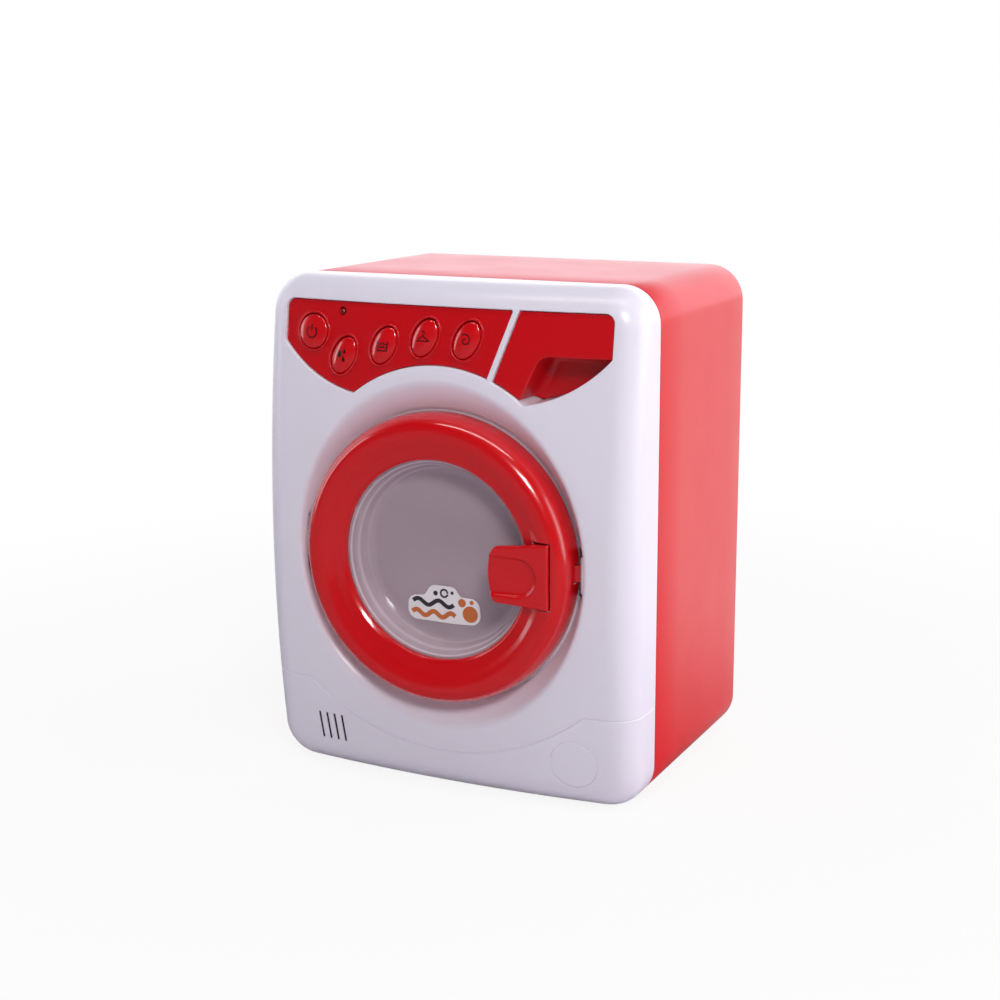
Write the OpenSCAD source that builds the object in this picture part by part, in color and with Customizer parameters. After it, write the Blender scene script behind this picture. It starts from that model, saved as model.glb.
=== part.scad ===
// Toy front-loading washing machine, 1:1, millimetres.
// X runs to the right, Y runs from the front to the back, Z is up.
// The origin is the middle of the foot print, on the surface that the machine stands on.
// Inside the modules, y is measured from the foremost point of the bulged white face.

/* [Case] */
// Width of the case
case_w = 176; // [170:1:184]
// Height of the case
case_h = 220; // [214:1:228]
// Depth from the foremost point of the face to the rear wall
case_d = 139; // [136:1:150]
// Depth of the white front shell, up to the seam
seam_y = 33.6; // [31:0.2:36]
// Radius of the four upright corners, seen from the front
corner_r = 16; // [14:0.5:18]
// Rounding between the face and the sides
edge_r = 11.2; // [9:0.2:12]
// Radius of the ball that the bulged face is part of
face_r = 650; // [600:10:900]
// Height of the foremost point of the face
crown_z = 106.6; // [100:0.2:112]
// Wall thickness of both case halves
wall = 2.4; // [2:0.1:2.8]

/* [Door] */
// Height of the middle of the door
door_z = 103.8; // [100:0.2:108]
// Outer radius of the door ring
ring_r = 62.5; // [60:0.5:64]
// Radius of the inner rim of the door ring
rim_r = 43.1; // [41:0.1:44]
// Radius at which the bead of the ring is highest
crest_r = 56; // [54:0.5:57]
// How far the bead stands in front of the face
crest_proud = 3.4; // [2:0.2:4]
// Depth of the rear edge of the ring
ring_rear = 11; // [10.5:0.1:11.2]
// Depth of the window bowl, measured from the face
bowl_depth = 14; // [10:0.5:16]

/* [Recess round the door] */
// Half width of the recess where it meets the face
dish_a = 67.5; // [66:0.5:69]
// Half height of the recess where it meets the face
dish_b = 76; // [72:0.5:77]
// Depth of the floor of the recess
dish_y = 11.8; // [11.5:0.1:13]
// Radius of the mouth through the recess floor
mouth_r = 47; // [46:0.5:48]

/* [Handle] */
// How far the handle stands in front of the face
handle_proud = 5; // [4.4:0.2:6]
// Height of the handle at its hinged end
handle_h = 27.4; // [24:0.2:28]
// Left tip of the handle, over the window
handle_tip_x = 27.6; // [26:0.2:30]
// Right end of the handle, on the ring
handle_end_x = 55; // [54:0.2:56]

/* [Control panel] */
// Half width of the visor-shaped opening
visor_hw = 76.4; // [74:0.2:77]
// Top edge of the visor-shaped opening
visor_top = 210.1; // [208:0.1:211]
// How far the panel lies below the face
panel_sink = 1.2; // [0.8:0.1:1.6]
// Long half axis of an oval button
oval_a = 8.3; // [7.5:0.1:8.6]
// Short half axis of an oval button
oval_b = 5.5; // [5:0.1:5.8]
// Lean of the oval buttons, to the right at the top
oval_lean = 27; // [15:1:35]
// Radius of the round power button
power_r = 7.2; // [6.5:0.1:7.4]
// Travel of every button
button_travel = 1.2; // [0.8:0.1:1.4]

/* [Drawer] */
// Depth of the finger pocket in the drawer front
pocket_depth = 14; // [10:0.5:15]
// Top edge of the finger pocket
pocket_top = 192; // [189:0.5:194]
// Rear end of the drawer tray, measured from the face
tray_end = 62; // [50:1:70]

/* [Drum and gears] */
// Outer radius of the drum
drum_r = 53.5; // [50:0.5:54]
// Front lip of the drum, measured from the face
drum_front = 27.5; // [26.5:0.5:30]
// Rear wall of the drum, measured from the face
drum_back = 86; // [80:1:87]
// Gear module
gear_m = 0.8; // [0.8]
// Teeth of the drum gear
drum_teeth = 60; // [60]
// Teeth of the large idler gear
idler_teeth = 40; // [40]
// Teeth of the motor pinion and of the small idler gear
pinion_teeth = 10; // [10]

/* [Batteries] */
// Radius of one battery cell, size AA
cell_r = 7.1; // [7:0.05:7.25]
// Length of one battery cell without its nub
cell_l = 49; // [48:0.5:49.5]
// Distance between neighbouring cells
cell_pitch = 16; // [15.5:0.1:16.4]

/* [Hidden] */
$fn = 96;
eps = 0.01;
slip = 0.03;                               // radial play of a pin or screw in its hole
gap = 0.35;                                // play between parts that slide past each other
face_y = (handle_proud - case_d) / 2;      // puts the whole object's middle on the origin
case_hw = case_w / 2;
floor_y = case_d - wall;                   // inner face of the rear wall
white = "#e9e4ee";
red = "#c8151f";
dark_red = "#a30f18";
steel = "#b9bcc2";
black = "#26262a";

// Screws that hold the case halves together
case_bosses = [[-77, 14], [77, 14], [-77, 158], [77, 158]];
boss_r = 4;
boss_end = 35.8;
well_r = 5.2;
// Screw: shank radius, head radius, head height
screw_r = 1.3;
head_r = 2.6;
head_h = 1.8;

// Visor-shaped opening: two large arcs below, one arc over the door
visor_arc_x = 30.1;
visor_arc_z = 232.9;
visor_arc_r = 61.7;
visor_over_z = 121.8;
visor_over_r = 64;
visor_corner = 4;
// White bar between the panel and the drawer, at its top and bottom end
bar_w = 2.5;
bar_top = [35, 211];
bar_low = [24, 180.4];

// Buttons: x, z on the face
button_at = [[-61.5, 196.7], [-45.5, 187.6], [-25.6, 192.8], [-6.2, 197], [13.3, 197]];
led_at = [-47.4, 205.8];
led_r = 1.5;
board_y = 20;
board_t = 1.6;
dome_h = 2.2;
panel_t = 3;
panel_posts = [[-33, 206.4], [-57.8, 181.8], [3.6, 207]];
panel_feet = [[-54, 213.2], [24, 213.2], [-67, 174]];
flange = 1.2;
button_t = 4.4;

// Door pieces, measured from the face
skin = 2.2;
rim_y = 1.2;
rim_back = 3.5;
window_t = 1.5;
back_y = 8.6;
back_t = 2.2;
door_posts = [for (a = [45:90:315]) [52.6 * cos(a), 52.6 * sin(a)]];
// Door hinge: a steel pin behind the face, two curved arms that reach round to it
hinge_x = -72;
hinge_y = 9.5;
pin_r = 1;
knuckle_r = 2.6;
arm_h = 7;
arm_mid = 9.6;
arm_back = 8.6;
arm_t = 2.2;
slot_y = 6.5;
// Handle pivot
latch_x = 52.8;
latch_y = 0.8;
body_hh = handle_h / 2 - 0.5;
tongue_x = 64.6;
tongue_hh = 8.5;
catch_hh = 10.3;

// Drum and gear train, all axles parallel to Y
shaft_r = 2.5;
hole_r = 2.2;
drum_t = 1.8;
rim_len = 2.4;
gear_y = 91;
gear_t = 4;
idler_y = 96;
idler_t = 3;
plate_y = 103;
plate_t = 2.6;
drum_to_idler = (drum_teeth + pinion_teeth) * gear_m / 2;
idler_to_motor = (idler_teeth + pinion_teeth) * gear_m / 2;
idler_dir = -60;
motor_dir = -30;
idler_at = [drum_to_idler * cos(idler_dir), door_z + drum_to_idler * sin(idler_dir)];
motor_at = idler_at + idler_to_motor * [cos(motor_dir), sin(motor_dir)];
frame_feet = [[-26, 122], [28, 122], [-14, 65], [53.5, 63]];
foot_r = 4.5;
strap_at = [for (s = [-1, 1]) motor_at + [15 * s, 0]];

// Batteries, measured from the face
box_hw = 30.5;
box_z = [3.6, 59.4];
box_t = 1.5;
box_y = 116;
door_t = 2.1;
cell_y = 125.6;
cell_z = [for (k = [-1:1]) 29 + k * cell_pitch];
cell_shift = 2.6;
screw_z = 55.4;

// Speaker behind the four slots
speaker_at = [-56.3, 19.8];
speaker_r = 14;
speaker_y = 14.6;
speaker_ears = [for (a = [75, -30]) speaker_at + 18.4 * [cos(a), sin(a)]];

// Depth of the bulged face at a place on it
function crown(x, z) = face_r - sqrt(pow(face_r, 2) - x * x - pow(z - crown_z, 2));
// Point of the case outline, drawn in by t from the outer wall
function outline_point(corner, a, t) =
    [(corner == 0 || corner == 3 ? 1 : -1) * (case_hw - corner_r) + (corner_r - t) * cos(a),
     (corner < 2 ? case_h - corner_r : corner_r) + (corner_r - t) * sin(a)];
// Points of the case outline along its four straight sides, drawn in by t
function side_points(t) = [for (s = [-1, 1], i = [-3:3]) each [
    [i / 4 * (case_hw - corner_r), case_h / 2 + s * (case_h / 2 - t)],
    [s * (case_hw - t), case_h / 2 + i / 4 * (case_h / 2 - corner_r)]]];
function ring_points(t) = concat(side_points(t),
    [for (c = [0:3], j = [0:6]) outline_point(c, c * 90 + j * 15, t)]);
// Rounded rim of the front shell, w inside its outer surface
function rim_points(w) = [for (k = [0:6])
    let (r = edge_r - w) for (p = ring_points(w + r * (1 - cos(k * 15))))
    [p[0], crown(p[0], p[1]) + w + r * (1 - sin(k * 15)), p[1]]];
function face_points(w) = [for (i = [-5:5], j = [-6:6])
    let (x = i / 5 * (case_hw - edge_r - 2), z = case_h / 2 + j / 6 * (case_h / 2 - edge_r - 2))
    [x, crown(x, z) + w, z]];
function seam_points(w, y) = [for (c = [0:3], j = [0:6])
    let (p = outline_point(c, c * 90 + j * 15, w)) [p[0], y, p[1]]];

// The working frame of every module: y = 0 at the foremost point of the face
module in_case() { translate([0, face_y, 0]) children(); }
// A flat outline in x and z, from depth a to depth b
module slab(a, b) { translate([0, b, 0]) rotate([90, 0, 0]) linear_extrude(b - a) children(); }
module ycyl(p, r, a, b) { translate([p[0], a, p[1]]) rotate([-90, 0, 0]) cylinder(r = r, h = b - a); }
module zcyl(x, y, r, a, b) { translate([x, y, a]) cylinder(r = r, h = b - a); }
// A profile of radius and depth, turned about the door's middle
module turned(at = [0, door_z]) {
    translate([at[0], 0, at[1]]) rotate([-90, 0, 0]) rotate_extrude() children();
}
// A flat outline in x and y, from height a to height b
module tier(a, b) { translate([0, 0, a]) linear_extrude(b - a) children(); }

// The layer between depths a and b below the bulged face
module face_ball(depth) { translate([0, face_r, crown_z]) sphere(r = face_r - depth, $fn = 240); }
module layer(a, b) { difference() { face_ball(a); face_ball(b); } }
// Stands children on the face: their own -y is the outward direction there
module on_face(p, depth = 0) {
    up = -asin((p[1] - crown_z) / face_r);
    turn = asin(p[0] / (face_r * cos(up)));
    translate([0, face_r, crown_z]) rotate([up, 0, turn]) translate([0, depth - face_r, 0]) children();
}

module case_outline(t) {
    points = [for (c = [0:3], j = [0:10]) outline_point(c, c * 90 + j * 9, t)];
    polygon(points);
}
module shell_form(w, y) {
    points = concat(rim_points(w), face_points(w), seam_points(w, y));
    hull() polyhedron(points, [for (k = [0:len(points) - 3]) [k, k + 1, k + 2]]);
}

// Visor-shaped opening, grown by d
module visor(d) {
    difference() {
        intersection() {
            union() for (s = [-1, 1])
                translate([s * visor_arc_x, visor_arc_z]) circle(visor_arc_r + d);
            union() {
                translate([-visor_hw - d, 160]) square([2 * (visor_hw + d),
                    visor_top - visor_corner - 160]);
                translate([-visor_hw - d + visor_corner, 190])
                    square([2 * (visor_hw + d - visor_corner), visor_top + d - 190]);
                for (s = [-1, 1])
                    translate([s * (visor_hw + d - visor_corner), visor_top + d - visor_corner])
                        circle(visor_corner);
                translate([-visor_hw - d, 190]) square([2 * (visor_hw + d),
                    visor_top + d - visor_corner - 190]);
            }
        }
        translate([0, visor_over_z]) circle(visor_over_r - d);
    }
}
// Everything to the left (-1) or right (1) of the bar, w away from its middle line
module beside_bar(side, w) {
    lean = bar_top - bar_low;
    top = bar_top + lean + [side * w, 0];
    low = bar_low - lean + [side * w, 0];
    polygon([top, low, low + [side * 150, 0], top + [side * 150, 0]]);
}
module left_visor(d) { intersection() { visor(d); beside_bar(-1, bar_w / 2 - d); } }
module right_visor(d) { intersection() { visor(d); beside_bar(1, bar_w / 2 - d); } }
module oval(d) {
    rotate(-oval_lean) polygon([for (k = [0:59]) [(oval_b + d) * cos(k * 6),
        (oval_a + d) * sin(k * 6)]]);
}
module button_outline(i, d) { if (i == 0) circle(power_r + d); else oval(d); }

// A screw whose head sits at depth y and whose shank points towards the front (-1) or back (1)
module screw(p, y, length, way, r = screw_r, hr = head_r, hh = head_h) {
    difference() {
        union() {
            ycyl(p, r, way > 0 ? y : y - length, way > 0 ? y + length : y);
            ycyl(p, hr, way > 0 ? y - hh : y, way > 0 ? y : y + hh);
        }
        translate([p[0], way > 0 ? y - hh : y + hh, p[1]]) for (a = [0, 90])
            rotate([0, a, 0]) cube([hr * 1.2, 1.4, 0.5], center = true);
    }
}

// Recess round the door: from an oval at the face to a circle at the floor, grown by d
module dish(d) {
    lead = (dish_y - 3.5);
    a = ring_r + 0.8 + (dish_a - ring_r - 0.8) * (dish_y + 1) / lead;
    b = ring_r + 0.8 + (dish_b - ring_r - 0.8) * (dish_y + 1) / lead;
    hull() {
        slab(-1, -0.9) translate([0, door_z])
            polygon([for (k = [0:71]) [(a + d) * cos(k * 5), (b + d) * sin(k * 5)]]);
        slab(dish_y - 0.2, dish_y + d) translate([0, door_z]) circle(ring_r + 0.8 + d, $fn = 72);
    }
}

module front_shell() color(white) in_case() {
    difference() {
        union() {
            difference() {
                shell_form(0, seam_y);
                shell_form(wall, seam_y + 1);
            }
            intersection() {
                union() {
                    dish(skin);
                    // collar that guides the drawer, and the bar beside the panel
                    slab(3, 24) difference() { right_visor(1.8); right_visor(0); }
                    slab(3, 12) bar();
                    // pegs behind the face
                    for (p = case_bosses) ycyl(p, boss_r, 4, boss_end);
                    for (p = panel_feet) ycyl(p, 2.6, 4, foot_y(p));
                    ycyl(speaker_at, speaker_r + 2, 6, speaker_y + 3);
                    for (p = speaker_ears) ycyl(p, 2.6, 6, speaker_y + 3);
                    hinge_ears();
                }
                shell_form(1, boss_end + 1);
            }
            turned() polygon([[mouth_r, dish_y], [mouth_r + 2, dish_y], [mouth_r + 2, 24.5],
                [mouth_r, 24.5]]);
        }
        dish(0);
        turned() square([mouth_r, 60]);
        slab(-1, 30) left_visor(0);
        slab(-1, 30) right_visor(0);
        for (k = [-1.5:1.5]) slab(-1, 13) translate(speaker_at + [4 * k, 0])
            rotate(5) square([1.2, 12.6], center = true);
        ycyl(speaker_at, speaker_r + 0.2, speaker_y, 30);
        engraving();
        for (p = case_bosses) ycyl(p, 1.5 + slip, 18, 60);
        for (p = panel_feet) ycyl(p, screw_r + slip, foot_y(p) - 2.5, 60);
        for (p = speaker_ears) ycyl(p, screw_r + slip, speaker_y - 3, 60);
        for (s = [-1, 1]) hinge_slot(s);
        zcyl(hinge_x, hinge_y, pin_r + slip, door_z - 19, door_z + 19);
        translate([62, 5, door_z - catch_hh]) cube([7.6, 11, 2 * catch_hh]);
    }
}
module bar() {
    lean = (bar_top[0] - bar_low[0]) / (bar_top[1] - bar_low[1]);
    z0 = visor_arc_z - visor_arc_r + 6;
    z1 = visor_top + 2;
    x0 = bar_low[0] + lean * (z0 - bar_low[1]);
    x1 = bar_low[0] + lean * (z1 - bar_low[1]);
    polygon([[x0 - bar_w, z0], [x0 + bar_w, z0], [x1 + bar_w, z1], [x1 - bar_w, z1]]);
}
// Shallow lines moulded into the face: the skirt line and the small round badge
module engraving() {
    skirt_r = 102.8;
    intersection() {
        union() {
            slab(-1, 30) translate([0, 18.2 + skirt_r]) difference() {
                circle(skirt_r + 0.25);
                circle(skirt_r - 0.25);
                translate([-skirt_r - 1, 42.3 - 18.2 - skirt_r]) square([2 * skirt_r + 2, 3 * skirt_r]);
            }
            for (s = [-1, 1]) translate([s * 78, 15, 42.3]) cube([24, 60, 0.5], center = true);
            turned([61, 20.5]) translate([10.15, 0]) square([0.5, 30]);
        }
        difference() { shell_form(-1, seam_y + 2); shell_form(0.4, seam_y + 2); }
    }
}
// Three ears with one bore for the hinge pin
module hinge_ears() {
    for (z = [[-17.6, -13.5], [-5.7, 5.7], [13.5, 17.6]]) tier(door_z + z[0], door_z + z[1]) {
        translate([hinge_x, hinge_y]) circle(3);
        translate([hinge_x - 3, 2]) square([6, hinge_y - 2]);
    }
}
// Way for one hinge arm: its knuckle behind the face, and a cut through the wall of the recess
module hinge_slot(s) {
    low = door_z + s * arm_mid - arm_h / 2 - 0.5;
    translate([hinge_x - 4, crown(hinge_x, door_z) + wall, low]) cube([7, 12, arm_h + 1]);
    translate([hinge_x - 4, slot_y, low]) cube([-52 - hinge_x, 13, arm_h + 1]);
}

module rear_housing() color(red) in_case() {
    difference() {
        union() {
            difference() {
                hull() {
                    slab(seam_y + 0.25, case_d - 3) case_outline(0);
                    slab(case_d - 1.2, case_d - 1) case_outline(0.7);
                    slab(case_d - 0.2, case_d) case_outline(3);
                }
                slab(seam_y - 1, floor_y) case_outline(wall);
            }
            for (p = case_bosses) ycyl(p, well_r, boss_end + 0.2, floor_y + 1);
            for (p = frame_feet) ycyl(p, foot_r, plate_y + plate_t, floor_y + 1);
            // tongues that locate the front shell
            for (s = [-1, 1]) {
                tongue(s * 60, 0, 1);
                tongue(s * 40, case_h, -1);
            }
        }
        for (p = case_bosses) {
            ycyl(p, 3.7, boss_end + 3.2, case_d + 1);
            ycyl(p, 1.5 + slip, boss_end - 1, boss_end + 4);
        }
        for (p = frame_feet) ycyl(p, screw_r + slip, plate_y, plate_y + 14);
        // battery opening, with a shallow seat for its door
        translate([-box_hw + box_t, floor_y - 1, box_z[0] + box_t])
            cube([2 * (box_hw - box_t), wall + 2, box_z[1] - box_z[0] - 2 * box_t]);
    }
}
// Flat tongue on the inside of the floor or the ceiling, reaching into the front shell
module tongue(x, z, up) {
    translate([x, 0, z]) scale_up(up) {
        translate([-10, seam_y + 0.5, wall - 0.5]) cube([20, 8, 2.3]);
        translate([-10, seam_y - 5, wall + 0.2]) cube([20, 8, 1.6]);
    }
}
module scale_up(up) { if (up > 0) children(); else mirror([0, 0, 1]) children(); }
module case_screws() color(steel) in_case() {
    for (p = case_bosses) screw(p, boss_end + 3.2, 18, -1, 1.5, 3, 2.2);
}

module control_panel() color(red) in_case() {
    difference() {
        union() {
            intersection() {
                slab(0, 30) left_visor(-0.25);
                layer(panel_sink, panel_sink + panel_t);
            }
            // lip behind the opening's edge, left out over the bar and the door's arc
            intersection() {
                slab(0, 30) intersection() {
                    left_visor(1.6);
                    beside_bar(-1, bar_w / 2 + 0.6);
                    translate([-80, 150]) square([110, 70]);
                }
                layer(panel_sink + 2, panel_sink + panel_t);
                slab(0, 30) difference() {
                    translate([-90, 160]) square([130, 60]);
                    translate([0, visor_over_z]) circle(visor_over_r + 0.6);
                }
            }
            // lugs for the panel screws
            for (p = panel_feet) {
                in = p + foot_in(p);
                slab(foot_y(p), foot_y(p) + 1.6) hull() {
                    translate(p) circle(2.6, $fn = 32);
                    translate(in) circle(2.6, $fn = 32);
                }
                ycyl(in, 2, crown(in[0], in[1]) + panel_sink + 1.6, foot_y(p) + 1);
            }
            for (i = [0:4]) on_face(button_at[i], panel_sink) slab(-0.9, 1) difference() {
                button_outline(i, gap + 1);
                button_outline(i, gap);
            }
            for (p = panel_posts) ycyl(p, 2.2, crown(p[0], p[1]) + panel_sink + 1, board_y);
        }
        for (i = [0:4]) on_face(button_at[i], panel_sink) slab(-4, 10) button_outline(i, gap);
        on_face(led_at, panel_sink) ycyl([0, 0], led_r + 0.2, -4, 10);
        for (p = panel_posts) ycyl(p, screw_r + slip, crown(p[0], p[1]) + 5, board_y + 1);
        for (p = panel_feet) ycyl(p, screw_r + 0.2, 0, 30);
        // room for the pegs in the lip
        for (p = panel_feet) ycyl(p, 3, 0, foot_y(p) - 0.3);
    }
}
// Where a lug stands on the panel, and the depth of the peg that it is screwed to
function foot_in(p) = p[1] > 200 ? [0, -6.6] : [3, 9];
function foot_y(p) = crown(p[0], p[1]) + wall + 4.6;
module panel_screws() color(steel) in_case() {
    for (p = panel_feet) screw(p, foot_y(p) + 1.6, 4, -1);
}
module status_led() color("#5a0a0c") in_case() {
    on_face(led_at, panel_sink) turned([0, 0]) polygon(concat([[0, -0.9]],
        [for (t = [15:15:90]) [led_r * sin(t), 0.6 - led_r * cos(t)]],
        [[led_r, 3.6], [led_r + 0.4, 3.6], [led_r + 0.4, 5], [0, 5]]));
    for (s = [-1, 1]) ycyl(led_at + [0.8 * s, 0], 0.25, crown(led_at[0], led_at[1]) + 5.6, board_y);
}
module circuit_board() color("#3f7d4a") in_case() {
    difference() {
        slab(board_y, board_y + board_t) difference() {
            translate([-71, 178.5]) square([93, 31.5]);
            translate([0, visor_over_z]) circle(59);
        }
        for (p = panel_posts) ycyl(p, screw_r + 0.2, board_y - 1, board_y + 4);
    }
}
module board_parts() color(black) in_case() {
    back = board_y + board_t;
    // epoxy drop over the sound chip
    translate([-20, back, 200]) intersection() {
        rotate([-90, 0, 0]) cylinder(r = 5, h = 1.8);
        translate([0, -5, 0]) sphere(r = 6.8);
    }
    ycyl([-42, 202], 2.5, back, back + 7);
    ycyl([-2, 192], 2.5, back, back + 7);
    translate([8, back, 186]) cube([10, 5.5, 5]);
    translate([-64, back, 190]) cube([8, 5.5, 5]);
    for (k = [0:4]) translate([-54 + k * 4, back, 186]) cube([1.6, 0.9, 3.2]);
}
module board_screws() color(steel) in_case() {
    for (p = panel_posts) screw(p, board_y + board_t, 7, -1);
}

module button(i) {
    r = i == 0 ? 24 : 21;
    color(red) in_case() on_face(button_at[i], panel_sink) {
        intersection() {
            slab(-4, button_t) button_outline(i, 0);
            translate([0, r - 2.3, 0]) sphere(r = r);
        }
        slab(panel_t + 0.25, button_t) button_outline(i, flange);
        ycyl([0, 0], 2, button_t - eps, stem(i));
    }
}
// Length of a button's stem, from the panel surface to just in front of its rubber dome
function stem(i) = board_y - crown(button_at[i][0], button_at[i][1]) - panel_sink - dome_h
    - button_travel / 2 - 0.1;
module power_button() { button(0); }
module rinse_button() { button(1); }
module wash_button() { button(2); }
module clothes_button() { button(3); }
module spin_button() { button(4); }
// Rubber dome that pushes a button back
module dome(i) {
    in = 11 / face_r;
    p = button_at[i] * (1 - in) + [0, crown_z * in];
    color("#8d8f94") in_case() translate([p[0], board_y, p[1]]) rotate([90, 0, 0]) difference() {
        cylinder(r1 = 4.2, r2 = 2.2, h = dome_h);
        translate([0, 0, -eps]) cylinder(r1 = 3.4, r2 = 1.4, h = 1.4);
    }
}
module power_dome() { dome(0); }
module rinse_dome() { dome(1); }
module wash_dome() { dome(2); }
module clothes_dome() { dome(3); }
module spin_dome() { dome(4); }

// Finger pocket: below its top edge, right of a leaning edge, with a round corner, grown by d
module pocket(d) {
    r = 5;
    difference() {
        intersection() {
            translate([0, pocket_top - 40 + d]) square([100, 40]);
            polygon([[46.4 - d, 193 + d], [36 - d, 171], [36, 165], [100, 165], [100, 193 + d]]);
        }
        difference() {
            translate([44 - d, pocket_top - r + d]) square([r - 1, r + 1]);
            translate([45.2 - d + r, pocket_top - r + d]) circle(r);
        }
    }
}
module detergent_drawer() color(red) in_case() {
    back = crown(60, 185) + panel_sink + pocket_depth;
    difference() {
        union() {
            intersection() {
                slab(0, 30) right_visor(-gap);
                layer(panel_sink, panel_sink + 2.2);
            }
            // pocket walls, and the tray behind them
            intersection() {
                slab(8, back + 1.6) intersection() { right_visor(-gap); pocket(1.6); }
                face_ball(panel_sink + 1);
            }
            slab(back, tray_end) tray_outline(0);
            intersection() {
                slab(8, tray_end) difference() { tray_outline(0); tray_outline(1.6); }
                face_ball(panel_sink + 1);
            }
        }
        intersection() {
            slab(-5, back) pocket(0);
            slab(-5, back) visor(5);
        }
        slab(back + 1.6, tray_end - 1.6) tray_outline(1.6);
        slab(back + 1.6, tray_end - 1.6) translate([20, 196]) square([80, 30]);
        translate([20, 14, 204]) cube([80, 60, 10]);
    }
}
// Section of the tray: follows the opening, t inside its own outer face
module tray_outline(t) {
    intersection() {
        right_visor(-gap - 0.5 - t);
        translate([36 + t, 160]) square([60, 46]);
    }
}
module drawer_guide() color(white) in_case() {
    difference() {
        slab(24, tray_end + 4) intersection() {
            difference() { right_visor(1.6); right_visor(-gap); }
            translate([34.5, 160]) square([60, 44]);
        }
        slab(23, 80) translate([0, visor_over_z]) circle(visor_over_r + 1);
    }
    slab(tray_end + 2, tray_end + 4) intersection() {
        right_visor(1.6);
        translate([34.5, 160]) square([60, 36]);
    }
}

// Outer face of the door ring, from its rear edge over the bead to the rim
function ring_face(d) = concat(
    [[ring_r - d, ring_rear]],
    [for (t = [0:10:90]) [crest_r + (ring_r - crest_r - d) * cos(t),
        6 - (6 + crest_proud - d) * sin(t)]],
    [for (t = [20:20:60]) [crest_r - 7.6 * sin(t), -crest_proud + d + 4.4 * (1 - cos(t))]],
    [[44.4 + d * 0.3, 0.2 + d]]);
module door_ring() color(red) in_case() {
    difference() {
        union() {
            turned() polygon(concat(ring_face(0), [[rim_r, rim_y], [rim_r, rim_back],
                [rim_r + 1.6, rim_back]],
                [for (k = [len(ring_face(skin)) - 1:-1:0]) ring_face(skin)[k]]));
            translate([0, 0, door_z]) intersection() {
                union() {
                    for (p = door_posts) ycyl(p, 2.8, -2, back_y);
                    for (s = [-1, 1]) zcyl(latch_x, latch_y, 2.6, s * 16.2 - 1.6, s * 16.2 + 1.6);
                    for (s = [-1, 1]) translate([latch_x - 2.6, -2, s * 16.2 - 1.6])
                        cube([5.2, 2.8, 3.2]);
                }
                rotate([-90, 0, 0]) rotate_extrude()
                    polygon(concat(ring_face(0.5), [[44.4, ring_rear]]));
            }
        }
        for (p = door_posts) ycyl(p + [0, door_z], screw_r + slip, 1.4, 20);
        // opening for the handle, a way out for its tongue, and notches for the hinge arms
        translate([46.8, -10, door_z - handle_h / 2 - 0.5])
            cube([handle_end_x + 0.7 - 46.8, 13.2, handle_h + 1]);
        translate([54, 5.6, door_z - tongue_hh - 0.6]) cube([12, 8, 2 * tongue_hh + 1.2]);
        for (s = [-1, 1]) translate([-66, 8, door_z + s * arm_mid - arm_h / 2 - 0.4])
            cube([8, 8, arm_h + 0.8]);
        zcyl(latch_x, latch_y, pin_r + slip, door_z - 17.4, door_z + 17.4);
    }
}
// Clear bowl with a flat flange
module door_window() color([0.85, 0.88, 0.92, 0.4]) in_case() {
    r = rim_r - 0.9;
    low = r - 5;
    turned() polygon(concat(
        [[0, bowl_depth]],
        [for (t = [0:15:75]) [low - 4 + 4 * sin(t), bowl_depth - 4 + 4 * cos(t)]],
        [[r, rim_back], [r + 6.4, rim_back], [r + 6.4, rim_back + window_t],
            [r + 1.5, rim_back + window_t]],
        [for (t = [75:-15:0]) [low - 4 + 5.5 * sin(t), bowl_depth - 4 + 5.5 * cos(t)]],
        [[0, bowl_depth + window_t]]));
}
// Die-cut sticker low on the bowl's floor
module window_sticker() color("#f4f2f4") in_case() {
    slab(bowl_depth - 0.2, bowl_depth) translate([-3, door_z - 22]) {
        translate([-11, -2]) circle(5);
        translate([0, 1]) circle(7);
        translate([11, -1.4]) circle(5.6);
        translate([-11, -6]) square([22, 8]);
    }
}
// Ring screwed on from behind: holds the window and carries the hinge arms
module door_back() color(dark_red) in_case() {
    difference() {
        union() {
            turned() polygon([[rim_r + 1.6, rim_back + window_t], [rim_r + 3.6, rim_back + window_t],
                [rim_r + 3.6, back_y], [ring_r - skin - 0.4, back_y],
                    [ring_r - skin - 0.4, back_y + back_t],
                [rim_r + 1.6, back_y + back_t]]);
            for (s = [-1, 1]) tier(door_z + s * arm_mid - arm_h / 2,
                door_z + s * arm_mid + arm_h / 2) arm();
        }
        for (p = door_posts) ycyl(p + [0, door_z], screw_r + 0.2, 0, 20);
        zcyl(hinge_x, hinge_y, pin_r + slip, door_z - 20, door_z + 20);
        translate([49, 5, door_z - tongue_hh - 1]) cube([20, 8, 2 * tongue_hh + 2]);
    }
}
// Curved hinge arm in x and y: knuckle, back, across, and forward to the ring
module arm() {
    deep = hinge_y + arm_back;
    translate([hinge_x, hinge_y]) circle(knuckle_r);
    translate([hinge_x - arm_t / 2, hinge_y]) square([arm_t, arm_back]);
    translate([hinge_x, deep - arm_t / 2]) square([12, arm_t]);
    translate([hinge_x, deep]) circle(arm_t / 2);
    polygon([[hinge_x + 11, deep + arm_t / 2], [hinge_x + 11, deep - arm_t / 2],
        [hinge_x + 12.6, back_y],
        [-54, back_y], [-54, back_y + back_t], [hinge_x + 14.6, back_y + back_t]]);
}
module door_screws() color(steel) in_case() {
    for (p = door_posts) screw(p + [0, door_z], back_y + back_t, 8, -1, hh = 0.9);
}
module hinge_pin() color(steel) in_case() {
    zcyl(hinge_x, hinge_y, pin_r, door_z - 17.6, door_z + 17.6);
}

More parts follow.
